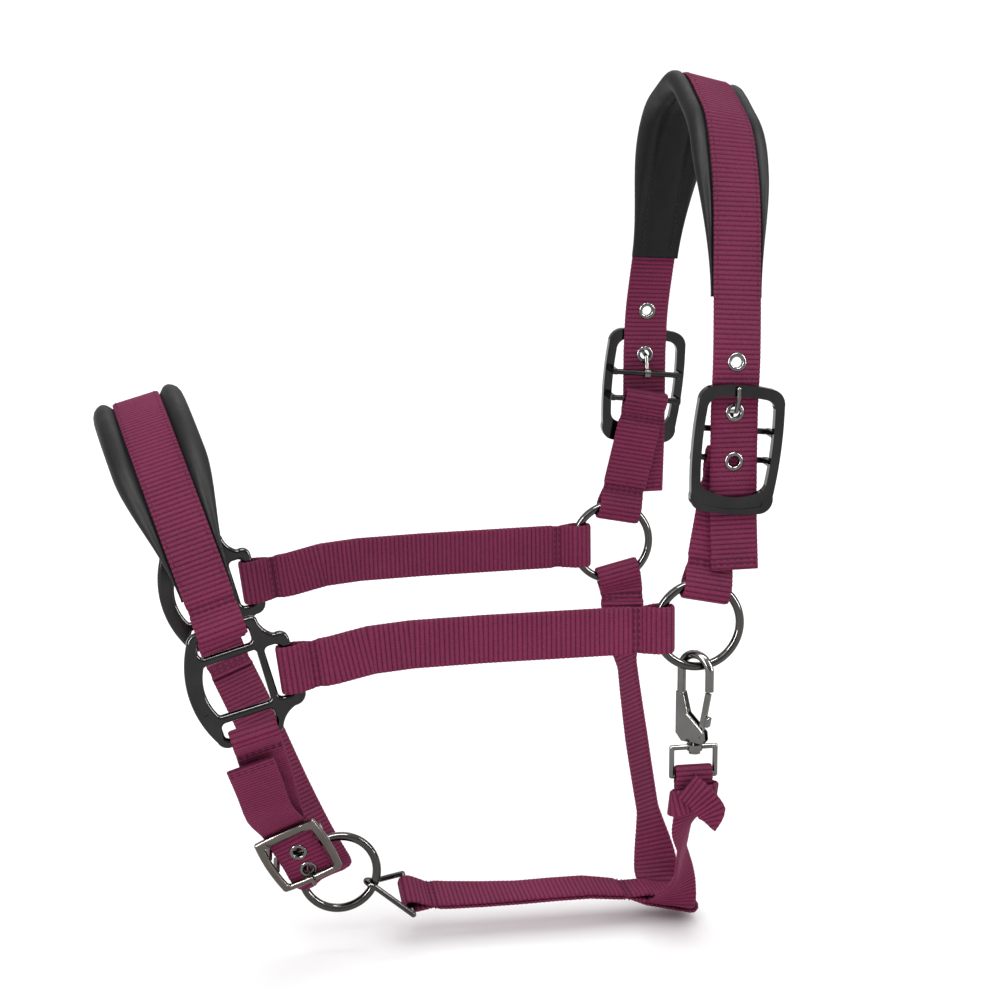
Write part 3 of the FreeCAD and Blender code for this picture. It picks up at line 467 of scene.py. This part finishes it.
def webbing_material():
    """Ribbed nylon: yarns run along the strap and cross over the ribs, alternate ones under."""
    made, tree, shader = material("plum_webbing", (0.26, 0.05, 0.14), 0.58)
    uv = put(tree, "ShaderNodeUVMap", uv_map="UVMap")
    split = put(tree, "ShaderNodeSeparateXYZ")
    tree.links.new(uv.outputs[0], split.inputs[0])
    across, run = split.outputs[0], split.outputs[1]
    ribs = maths(tree, "DIVIDE", run, RIB_PITCH)
    rib = maths(tree, "ABSOLUTE", maths(tree, "SINE", maths(tree, "MULTIPLY", ribs, pi)))
    odd = maths(tree, "MULTIPLY", maths(tree, "MODULO", maths(tree, "FLOOR", ribs), 2.0), 0.5)
    yarn = maths(tree, "ADD", maths(tree, "DIVIDE", across, 0.78), odd)
    yarn = maths(tree, "ABSOLUTE", maths(tree, "SINE", maths(tree, "MULTIPLY", yarn, pi)))
    fuzz = noise(tree, 900.0, 4.0)
    broad = noise(tree, 26.0, 2.0)
    height = maths(tree, "ADD", maths(tree, "MULTIPLY", yarn, maths(tree, "MULTIPLY", rib, 0.75)),
                   maths(tree, "MULTIPLY", fuzz, 0.35))
    bumped(tree, shader, height, 0.75, 0.00035)
    # painted shade: the colour is darker in the valleys between the ribs and between the yarns and lighter
    # on their crests; the two noises add random tone
    valley_shade_and_tone = maths(tree, "MULTIPLY", maths(tree, "POWER", rib, 0.8), 0.56)
    valley_shade_and_tone = maths(tree, "ADD", valley_shade_and_tone, maths(tree, "MULTIPLY", yarn, 0.26))
    valley_shade_and_tone = maths(tree, "ADD", valley_shade_and_tone, maths(tree, "MULTIPLY", maths(tree, "SUBTRACT", fuzz, 0.5), 0.5))
    valley_shade_and_tone = maths(tree, "ADD", valley_shade_and_tone, maths(tree, "MULTIPLY", maths(tree, "SUBTRACT", broad, 0.5), 0.3))
    color = blended(tree, valley_shade_and_tone, (0.026, 0.0022, 0.011), (0.265, 0.034, 0.098))
    tree.links.new(color, shader.inputs["Base Color"])
    tree.links.new(ramp(tree, fuzz, 0.5, 0.72), shader.inputs["Roughness"])
    shader.inputs["Sheen Weight"].default_value = 0.03
    shader.inputs["Sheen Roughness"].default_value = 0.45
    shader.inputs["Sheen Tint"].default_value = (0.8, 0.4, 0.6, 1)
    shader.inputs["Specular IOR Level"].default_value = 0.04
    return made


def thread_material(name, color):
    made, tree, shader = material(name, color, 0.55)
    twist = noise(tree, 1500.0, 3.0)
    bumped(tree, shader, twist, 0.6, 0.0002)
    shader.inputs["Specular IOR Level"].default_value = 0.06
    return made


def pad_material():
    """Soft black leather-look cover with a fine pebble grain and faint creases."""
    made, tree, shader = material("pad_cover", (0.013, 0.013, 0.014), 0.42)
    where = put(tree, "ShaderNodeTexCoord")
    grain = put(tree, "ShaderNodeTexVoronoi", feature="F1")
    grain.inputs["Scale"].default_value = 1250.0
    tree.links.new(where.outputs["Object"], grain.inputs["Vector"])
    creases = noise(tree, 130.0, 6.0)
    height = maths(tree, "ADD", maths(tree, "MULTIPLY", grain.outputs["Distance"], 0.5),
                   maths(tree, "MULTIPLY", creases, 1.4))
    bumped(tree, shader, height, 0.35, 0.0005)
    tree.links.new(ramp(tree, creases, 0.46, 0.66), shader.inputs["Roughness"])
    # painted shade: the colour is darker where the creases sink and lighter where they rise
    tree.links.new(blended(tree, creases, (0.0022, 0.0022, 0.0026), (0.006, 0.006, 0.007)),
                   shader.inputs["Base Color"])
    shader.inputs["Specular IOR Level"].default_value = 0.13
    return made


def metal_material(name, dark, light, rough_low, rough_high):
    """Plated metal: soft clouding in the plating and a trace of fine wear."""
    made, tree, shader = material(name, light, rough_low, 1.0)
    cloud = noise(tree, 60.0, 5.0)
    wear = noise(tree, 1400.0, 2.0)
    tree.links.new(blended(tree, cloud, dark, light), shader.inputs["Base Color"])
    mixed = maths(tree, "ADD", maths(tree, "MULTIPLY", cloud, 0.7), maths(tree, "MULTIPLY", wear, 0.3))
    tree.links.new(ramp(tree, mixed, rough_low, rough_high), shader.inputs["Roughness"])
    bumped(tree, shader, mixed, 0.05, 0.0004)
    return made


WEBBING = webbing_material()
THREAD = thread_material("plum_thread", (0.085, 0.010, 0.040))
DARK_THREAD = thread_material("black_thread", (0.016, 0.016, 0.018))
PAD = pad_material()
METAL_LOOKS = {              # dark tone, light tone, lowest and highest roughness
    "gunmetal": ((0.040, 0.039, 0.038), (0.075, 0.072, 0.070), 0.06, 0.14),
    "black_nickel": ((0.018, 0.0175, 0.0175), (0.038, 0.036, 0.036), 0.06, 0.15),
    "satin_gunmetal": ((0.075, 0.066, 0.060), (0.14, 0.125, 0.115), 0.18, 0.30),
    "nickel": ((0.075, 0.073, 0.070), (0.15, 0.145, 0.14), 0.08, 0.18),
    "eyelet_nickel": ((0.085, 0.083, 0.080), (0.17, 0.165, 0.16), 0.10, 0.20)}
METALS = {slot: metal_material(slot, *look) for slot, look in METAL_LOOKS.items()}
for entry in frame["record"]["subparts"]:
    metal = METALS.get(entry["material_slot"])
    if metal:
        shown = frame["nodes"][entry["node"]]
        shown.data.materials.clear()
        shown.data.materials.append(metal)

BODY = "headcollar"


def add(obj, *nodes):
    if nodes:
        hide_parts(*nodes)
    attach(obj, BODY)
    return obj


# ---- crown strap and its pad ----
def both_sides(half):
    return [p * V((-1, 1, 1)) for p in reversed(half[1:])] + half


half_crown = [V(p) for p in ((0, 0, 9.4), (31.2, -0.5, -0.8), (48.2, -0.9, -9.8), (60.1, -1.6, -23.8),
                             (72.7, -2.8, -47.6), (83.1, -4.8, -86.8), (92.2, -7.0, -124.0),
                             (93.2, -8.0, -150.0))]
crown_tail = [V(p) for p in ((93.2, -8.0, -180.0), (94.1, -7.9, -204.6), (97.7, -7.6, -233.5))]


def crown_wide(z):
    fall = radians(14.6 * ease((z + 124.0) / 134.0))
    return V((0, cos(fall), -sin(fall)))


crown_points = smooth(both_sides(half_crown), 5)
crown_points = [p * V((-1, 1, 1)) for p in reversed(crown_tail)] + crown_points + crown_tail
crown_line = framed(crown_points, [crown_wide(p.z) for p in crown_points])
crown_line = facing(crown_line, V((0, 0, 1)), len(crown_line) // 2)
crown_long = spans(crown_line)[-1]
crown = webbing("crown_webbing", crown_line)


def eyelet_holes(node):
    """Middle and axis of each ring of an eyelet node."""
    mesh = frame["nodes"][node].data
    work = bmesh.new()
    work.from_mesh(mesh)
    bmesh.ops.remove_doubles(work, verts=work.verts, dist=1e-6)
    left = set(work.verts)
    found = []
    while left:
        group, queue = [], [left.pop()]
        while queue:
            v = queue.pop()
            group.append(v.co)
            for e in v.link_edges:
                other = e.other_vert(v)
                if other in left:
                    left.remove(other)
                    queue.append(other)
        points = np.array([c[:] for c in group])
        low, high = points.min(0), points.max(0)
        axis = np.linalg.svd(points - points.mean(0))[2][2]
        found.append((V((low + high) / 2) / MM, V(axis)))
    work.free()
    return found


ROLLED_LIP = [(4.9, 0.0), (4.9, 1.0), (4.75, 1.35), (4.3, 1.62), (3.7, 1.68),
              (3.15, 1.5), (2.78, 1.1), (2.62, 0.5)]


def rolled_eyelets(name, node):
    """Tubular rivets with a rolled lip on each face of the strap."""
    lip = ROLLED_LIP + [(EYELET_BORE, 0.0)] + [(r, -z) for r, z in reversed(ROLLED_LIP[1:])]
    turns = EYELET_FACETS
    verts = []
    faces = []
    for place, axis in eyelet_holes(node):
        side = axis.orthogonal().normalized()
        other = axis.cross(side)
        first = len(verts)
        for k in range(turns):
            a = 2 * pi * k / turns
            out = side * cos(a) + other * sin(a)
            verts += [(place + out * r + axis * z)[:] for r, z in lip]
        for k in range(turns):
            here, then = first + k * len(lip), first + (k + 1) % turns * len(lip)
            faces += [(here + j, here + (j + 1) % len(lip), then + (j + 1) % len(lip), then + j)
                      for j in range(len(lip))]
    obj = mesh_object(name, verts, faces, METALS["eyelet_nickel"])
    return add(obj, node)


rolled_eyelets("left_crown_rivets", "left_crown_eyelets")
rolled_eyelets("right_crown_rivets", "right_crown_eyelets")
punched(crown, eyelet_holes("left_crown_eyelets") + eyelet_holes("right_crown_eyelets"), EYELET_HOLE)
add(crown, "crown_strap")

PAD_END = -98.0
crown_pad_line = [st for st in crown_line if st[0].z > PAD_END]
nose_bar = SQUARE_AT + SQ_BACK * 0.3 + SQ_UP * 28.4
NOSE_RISE = V((0, -303.0 - nose_bar.y, -154.3 - nose_bar.z))
NOSE_WIDE = SQ_BACK
half_nose = [V((x, nose_bar.y, nose_bar.z)) + NOSE_RISE * h for x, h in (
    (0, 1.0), (34, 0.94), (61, 0.765), (78.5, 0.52), (88, 0.24), (92, -0.008))]
nose_points = smooth(both_sides(half_nose), 5)
nose_line = facing(framed(nose_points, [NOSE_WIDE] * len(nose_points)), V((0, 0, 1)), len(nose_points) // 2)
nose_long = spans(nose_line)[-1]
NOSE_TAIL = 17.0


def pad(name, stations, ends, middle, groove, nodes):
    """A padded cover under a strap: a roll beside each edge, and on the inner face two rolls,
    a middle band and a stitched channel between them."""
    s, mid, thick, wide, run = fine(stations, 1.6, 2.0)
    if thick[len(s) // 2][2] < 0:
        thick = -thick
    verts = []
    spots = []
    total = s[-1]
    for i in range(len(s)):
        t = ease(min(s[i], total - s[i]) / (0.28 * total))
        half, high, bulge = [a + (b - a) * t for a, b in zip(ends, middle)]
        edge = WEB_WIDTH / 2 + 0.25
        e = half - edge
        top = -WEB_THICK / 2 - 0.1
        plump = 0.12 * sin(s[i] * 0.33) * t
        outline = [(0, top), (7.0, top), (11.4, top - 0.05), (edge, top - 0.35 * t),
                   (edge + 0.22 * e, top + 0.75 * bulge), (edge + 0.5 * e, top + bulge + plump),
                   (edge + 0.85 * e, top + 0.25 * bulge), (half, top - 0.38 * high),
                   (edge + 0.86 * e, top - 0.74 * high), (edge + 0.5 * e, top - 0.97 * high),
                   (edge + 0.12 * e, top - high - plump), (groove + 2.6, top - 0.9 * high),
                   (groove, top - (0.9 - 0.24 * t) * high), (groove - 2.4, top - 0.86 * high),
                   (groove * 0.4, top - 0.93 * high), (0, top - 0.94 * high)]
        loop = [V((x, y, 0)) for x, y in outline]
        loop += [V((-x, y, 0)) for x, y in reversed(outline[1:-1])]
        closed = []
        count = len(loop)
        for k in range(count):
            p0, p1, p2, p3 = (loop[(k + m) % count] for m in (-1, 0, 1, 2))
            closed += [p1, (p1 + p2) * 0.5625 - (p0 + p3) * 0.0625]
        verts += [(V(mid[i]) + V(wide[i]) * c.x + V(thick[i]) * c.y)[:] for c in closed]
        if i % 2 == 0 and 6 < s[i] < total - 6:
            for side in (-1, 1):
                place = V(mid[i]) + V(wide[i]) * side * groove
                place += V(thick[i]) * (top - (0.9 - 0.24 * t) * high - 0.1)
                spots.append((place, V(run[i]), -V(thick[i])))
    ring = len(closed)
    faces = tube_faces(len(s), ring)
    faces += [tuple(range(ring)), tuple((len(s) - 1) * ring + j for j in range(ring))]
    obj = mesh_object(name, verts, faces, PAD)
    add(obj, *nodes)
    add(stitches(name + "_channel_stitching", spots, DARK_THREAD))


pad("crown_pad", crown_pad_line, (13.2, 2.6, 0.0), (20.4, 9.4, 2.0), 8.6,
    ("crown_pad_cover", "crown_pad_foam"))
reach = spans(nose_line)
nose_pad_line = [(p + n * 1.05, n, w) for s, (p, n, w) in zip(reach, nose_line)
                 if NOSE_TAIL + 2 < s < nose_long - NOSE_TAIL - 2]
pad("noseband_pad", nose_pad_line, (13.4, 3.0, 0.0), (24.5, 11.5, 3.4), 9.4,
    ("noseband_pad_cover", "noseband_pad_foam"))

# ---- noseband ----
nose_fold = (SQUARE_FOLD, 3.4, NOSE_TAIL)
nose_rows = [along(nose_line, s) for s in (14.5, nose_long - 14.5)]
nose_path = folded(nose_line, fold_path(nose_line, nose_fold, nose_fold))
noseband = webbing("noseband_webbing", nose_path, nose_rows)
add(noseband, "noseband_strap")
outer_nose = [(p + n * 1.05, n, w) for p, n, w in nose_line]
seams = edge_rows(crown_pad_line, 2.0, EDGE_LIFT, 2, 1e9)
seams += edge_rows(outer_nose, 2.0, EDGE_LIFT, 20, nose_long - 20)


def sign_out(spots, centre):
    """Put edge stitches on the side away from the head."""
    out = []
    for p, d, n in spots:
        if n.dot(p - centre) < 0:
            p = p - n * (2 * EDGE_LIFT)
            n = -n
        out.append((p, d, n))
    return out


crown_centre = V((0, 0, -60))
nose_centre = V((0, -285, -240))
seams = [one for spot in seams
         for one in sign_out([spot], crown_centre if spot[0].y > -150 else nose_centre)]
LIFT = WEB_THICK + PLY_GAP / 2 - 0.30
for s in (14.5, nose_long - 14.5):
    seams += cross_row(nose_line, s, LIFT)

# ---- billets and cheek straps ----
billet_bar = BUCKLE_AT + BK_UP * -6.5 + V((-10.0, 0, 0))
rise = V((0, billet_bar.y - RING_AT.y, billet_bar.z - RING_AT.z)).normalized()
foot = RING_AT + rise * RING_CHORD
lean = (billet_bar - foot).normalized()
billet_line = framed([foot, billet_bar + lean * 1.4], [V((0, 1, 0))] * 2)
square_end = SQUARE_AT + SQ_BACK * 27.6 - SQ_UP * 1.5
cheek_run = V((0, square_end.y - RING_AT.y, square_end.z - RING_AT.z)).normalized()
CHEEK_END_FALL = radians(8.0)
cheek_end = V((0, -cos(CHEEK_END_FALL), -sin(CHEEK_END_FALL)))
cheek_points = smooth([RING_AT + cheek_run * RING_CHORD, square_end - cheek_end * 62.0 + V((1.2, 0, 0.8)),
                       square_end - cheek_end * 22.0, square_end + cheek_end * 1.4], 3)
cheek_line = framed(cheek_points, [V((0, 0, 1))] * len(cheek_points))
for side in ("left", "right"):
    here = (lambda stations: stations) if side == "left" else mirrored
    row_line = here(billet_line)
    rows = [14.5, spans(row_line)[-1] - 13.0]
    obj = webbing(side + "_billet_webbing", here(doubled(billet_line, (RING_FOLD, 4.7), (CROSSBAR, 3.2))),
                  [along(row_line, s) for s in rows])
    add(obj, side + "_buckle_billet")
    for s in rows:
        seams += cross_row(row_line, s, LIFT)
    row_line = here(cheek_line)
    rows = [15.0, spans(row_line)[-1] - 14.0]
    obj = webbing(side + "_cheek_webbing", here(doubled(cheek_line, (RING_FOLD, 4.7), (SQUARE_FOLD, 4.6))),
                  [along(row_line, s) for s in rows])
    add(obj, side + "_cheek_strap")
    for s in rows:
        seams += cross_row(row_line, s, LIFT)


# ---- chin billet and chin strap ----
def on_chin_buckle(up, out, wide=0.0):
    return CHIN_BUCKLE_AT + CB_UP * up + CB_OUT * out + CB_WIDE * wide


near_bar = SQUARE_AT + SQ_BACK * 0.3 - SQ_UP * 28.2
far_bar = SQUARE_AT - SQ_BACK * 0.4 - SQ_UP * 28.2
far_bar = far_bar * V((-1, 1, 1))
bar_lift = V((0, -0.1, 0.5))
chin_billet_points = smooth([near_bar + bar_lift, V((85.6, -252.0, -317.2)), V((51.8, -242.4, -348.6)),
                             on_chin_buckle(20.0, -9.2), on_chin_buckle(4.0, CB_BACK)], 3)
turns = [mix(SQ_BACK, CB_WIDE, ease(i / (len(chin_billet_points) - 1.0)))
         for i in range(len(chin_billet_points))]
chin_billet_line = facing(framed(chin_billet_points, turns), V((1, 0, 0)))
rows = [14.0, spans(chin_billet_line)[-1] - 13.0]
add(webbing("chin_billet_webbing", doubled(chin_billet_line, (SQUARE_FOLD, 2.6), (CROSSBAR, 3.4)),
            [along(chin_billet_line, s) for s in rows]), "chin_billet")
for s in rows:
    seams += cross_row(chin_billet_line, s, LIFT)

STRAP_BACK = -(3.4 / 2 + 0.8 + WEB_THICK / 2) - (WEB_THICK + PLY_GAP) / 2
CHIN_WIDE = V((0, 0.925, 0.38))
chin_knots = [
    (far_bar + bar_lift, SQ_BACK),
    (V((-88.5, -252.5, -316.5)), SQ_BACK),
    (V((-64.0, -239.5, -344.0)), SQ_BACK),
    (V((-36.0, -224.5, -379.0)), CHIN_WIDE),
    (V((-17.0, -213.5, -402.0)), CHIN_WIDE),
    (V((-7.0, -208.3, -410.6)), CHIN_WIDE),
    (V((4.0, -206.4, -413.0)), CHIN_WIDE),
    (V((14.0, -208.6, -412.6)), mix(CHIN_WIDE, CB_WIDE, 0.35)),
    (on_chin_buckle(-18.5, STRAP_BACK), mix(CHIN_WIDE, CB_WIDE, 0.85)),
    (on_chin_buckle(-7.0, STRAP_BACK), CB_WIDE),
    (on_chin_buckle(7.0, STRAP_BACK), CB_WIDE),
    (on_chin_buckle(18.0, STRAP_BACK), CB_WIDE),
    (V((49.0, -243.5, -364.5)), mix(CB_WIDE, SQ_BACK, 0.45)),
    (V((68.0, -250.0, -345.0)), mix(CB_WIDE, SQ_BACK, 0.8)),
    (V((86.5, -257.0, -325.0)), SQ_BACK)]
chin_line = facing(through(chin_knots, 3), V((-1, 0, 0)))
chin_long = spans(chin_line)[-1]
chin = webbing("chin_webbing", folded(chin_line, fold_path(chin_line, (SQUARE_FOLD, 2.6, 22.0))),
               [along(chin_line, 17.0)])
punched(chin, eyelet_holes("chin_eyelets"), EYELET_HOLE)
rolled_eyelets("chin_rivets", "chin_eyelets")
add(chin, "chin_strap")
seams += cross_row(chin_line, 17.0, LIFT)
hem = along(chin_line, chin_long - 4.0)
seams += [spot for spot in cross_row([(hem[0] + hem[1] * 1.05, hem[1], hem[2]),
                                      (hem[0] + hem[1] * 1.05 + hem[3], hem[1], hem[2])],
                                     0.0, EDGE_LIFT)]
for end in (4.0, crown_long - 4.0):
    p, n, w, r = along(crown_line, end)
    seams += cross_row([(p, n, w), (p + r, n, w)], 0.0, EDGE_LIFT)

# ---- jaw strap ----
LINK_BASE = V((0.0, -162.6, -433.6))
link_side = V((cos(radians(15.0)), 0, -sin(radians(15.0))))
THROAT_WIDE = V((0, 0.97, -0.24)).normalized()
throat_low = V((0, -16.0, -443.9)) - V((1, 0, 0)).cross(THROAT_WIDE) * 1.35
jaw_end = throat_low + THROAT_WIDE * 13.2
jaw_knots = [(LINK_BASE, link_side), (V((0, -140.0, -435.8)), V((1, 0, -0.20))),
             (V((0, -100.0, -437.2)), V((1, 0, -0.08))), (V((0, -62.0, -436.8)), V((1, 0, -0.08))),
             (jaw_end - THROAT_WIDE * 29.0, V((1, 0, 0)))]
jaw_line = through(jaw_knots, 2)
jaw_line = framed([st[0] for st in jaw_line] + [jaw_end], [st[2] for st in jaw_line] + [V((1, 0, 0))])
jaw_line = facing(jaw_line, V((0, 0, 1)))
rows = [13.0, spans(jaw_line)[-1] - 38.0]
add(webbing("jaw_webbing", doubled(jaw_line, (1.6 + 0.5, 2.0), (WEB_THICK / 2 + 0.6, 26.5), 8.0),
            [along(jaw_line, s) for s in rows]), "jaw_strap")
for s in rows:
    seams += cross_row(jaw_line, s, LIFT)

# ---- throat strap, bunched into the snap's eye and tied ----
EYE_AT = V((96.0, -27.4, -335.0))
eye_low = EYE_AT - V((0, 0, 18.0 / 2 - 1.4))
drop = V((0, 0.20, -0.98)).normalized()
throat_top = RING_AT * V((-1, 1, 1)) + drop * RING_CHORD
throat_knots = [
    (throat_top, V((0, 0.98, 0.20))),
    (throat_top + drop * 14.0, V((0, 0.98, 0.20))),
    (V((-86.0, -21.2, -308.0)), V((0.45, 0.85, 0.30))),
    (V((-75.0, -22.0, -330.0)), V((0.86, 0.20, 0.42))),
    (V((-55.0, -21.0, -368.0)), V((0.84, 0.28, 0.42))),
    (V((-36.0, -18.6, -406.0)), V((0.86, 0.26, 0.42))),
    (V((-24.0, -16.8, -429.0)), V((0.55, 0.80, 0.10))),
    (V((-18.6, -16.0, -440.0)), THROAT_WIDE),
    (V((-13.6, -16.0, -443.9)), THROAT_WIDE),
    (V((13.6, -16.0, -443.9)), THROAT_WIDE),
    (V((18.6, -16.2, -440.0)), THROAT_WIDE),
    (V((26.0, -17.6, -430.0)), V((-0.35, 0.90, 0.00))),
    (V((46.0, -21.2, -409.0)), V((-0.80, 0.42, 0.42))),
    (V((74.0, -26.0, -381.0)), V((-0.78, 0.48, 0.42))),
    (V((93.0, -27.3, -362.0)), V((-0.10, 0.99, 0.0))),
    (EYE_AT + V((0, 0, -13.0)), V((0, 1, 0))),
    (eye_low + V((0, 0, 2.0)), V((0, 1, 0)))]
throat_line = facing(through(throat_knots, 3), V((-1, 0, 0)))
throat_path = folded(throat_line, fold_path(throat_line, (RING_FOLD, 4.7, 22.0), (1.4, 4.0, 18.0)))
throat_spans = spans(throat_path)
bunch_from = next(s for s, st in zip(throat_spans, throat_path) if st[0].x > 60 and st[0].z > -376)
throat = webbing("throat_webbing", throat_path, [along(throat_line, 16.0)],
                 width=lambda s: 1.0 - 0.216 * ease((s - bunch_from) / 18.0))
add(throat, "throat_strap")
seams += cross_row(throat_line, 16.0, LIFT)
add(stitches("webbing_stitching", seams, THREAD))

# the tie: one turn round the strap below the eye, and a pointed tail drawn out beside it
knot_at = V((96.0, -27.4, -355.5))
turn_points = []
for k in range(25):
    a = 2 * pi * k / 24
    x = 6.6 * (abs(cos(a)) ** 0.7) * (1 if cos(a) > 0 else -1)
    y = 11.8 * (abs(sin(a)) ** 0.7) * (1 if sin(a) > 0 else -1)
    turn_points.append(knot_at + V((x, y, 3.2 * sin(a + 0.6) * 0.8)))
turn_line = [(p, V((0, 0, 1)), V((0, 0.12, 1))) for p in turn_points]
turn = webbing("knot_turn_webbing", turn_line, width=lambda s: 0.52, phase=0.3)
tail_points = [V((103.5, -33.0, -346.0)), V((105.4, -26.0, -352.0)),
               V((105.2, -19.5, -361.0)), V((104.0, -17.6, -371.0))]
tail_line = [(p, V((1, 0, 0)), V((0.1, 0.85, 0.45))) for p in smooth(tail_points, 4)]
tail = webbing("knot_tail_webbing", tail_line, width=lambda s: 0.6, point=10.0)
add(turn, "throat_strap_knot")
add(tail)

# ---- floor, light and camera ----
size_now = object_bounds()
floor_z = size_now[0].z - FLOOR_GAP
bpy.ops.mesh.primitive_plane_add(size=FLOOR_SIDE, location=(0, 0, floor_z))
floor = bpy.context.object
floor_material, tree, shader = material("pale_floor", (0.94, 0.94, 0.94), 0.95)
shader.inputs["Specular IOR Level"].default_value = 0.1
floor.data.materials.append(floor_material)

world = bpy.data.worlds.new("studio")
bpy.context.scene.world = world
world.use_nodes = True
sky = world.node_tree
sky.nodes["Background"].inputs[0].default_value = (1, 1, 1, 1)
toward = put(sky, "ShaderNodeTexCoord")
parts = put(sky, "ShaderNodeSeparateXYZ")
sky.links.new(toward.outputs["Generated"], parts.inputs[0])
overhead = put(sky, "ShaderNodeMapRange", interpolation_type="SMOOTHSTEP")
for socket, value in zip((1, 2, 3, 4), (0.22, 0.62, HORIZON_LIGHT, OVERHEAD_LIGHT)):
    overhead.inputs[socket].default_value = value
sky.links.new(parts.outputs[2], overhead.inputs[0])
sky.links.new(overhead.outputs[0], sky.nodes["Background"].inputs[1])


def soft_light(name, place, look_at, size, watts, on_cloth=True):
    lamp = bpy.data.lights.new(name, "AREA")
    lamp.shape = "RECTANGLE"
    lamp.size, lamp.size_y = size
    lamp.energy = watts
    obj = bpy.data.objects.new(name, lamp)
    obj.location = place
    obj.visible_diffuse = on_cloth
    obj.rotation_mode = "QUATERNION"
    obj.rotation_quaternion = (V(look_at) - V(place)).to_track_quat("-Z", "Y")
    bpy.context.scene.collection.objects.link(obj)


middle = (0.0, -0.14, -0.22)
soft_light("key", (1.5, -1.3, 1.4), middle, (0.8, 0.8), 9)
soft_light("back", (-1.3, 0.3, 1.2), middle, (1.2, 0.5), 7)
# strips that only show as highlights on the metal and the covers
soft_light("left_strip", (1.0, -1.6, 0.3), middle, (0.25, 1.4), 80, False)
soft_light("right_strip", (0.9, 1.5, 0.4), middle, (0.25, 1.4), 80, False)
soft_light("top_strip", (0.7, -0.1, 1.5), middle, (1.4, 0.30), 80, False)

CAMERA_AT = V((1.3921, -0.3850, 0.0948))
CAMERA_LOOK = V((-0.95877, 0.18887, -0.21235))
CAMERA_UP = V((-0.20834, 0.04105, 0.97716))
camera_data = bpy.data.cameras.new("camera")
camera_data.lens = 97.2
camera_data.sensor_width = 36.0
camera = bpy.data.objects.new("camera", camera_data)
right = CAMERA_LOOK.cross(CAMERA_UP)
turned = Matrix((right, CAMERA_UP, -CAMERA_LOOK)).transposed().to_4x4()
camera.matrix_world = Matrix.Translation(CAMERA_AT) @ turned
bpy.context.scene.collection.objects.link(camera)
bpy.context.scene.camera = camera
bpy.context.scene.view_settings.view_transform = "Standard"
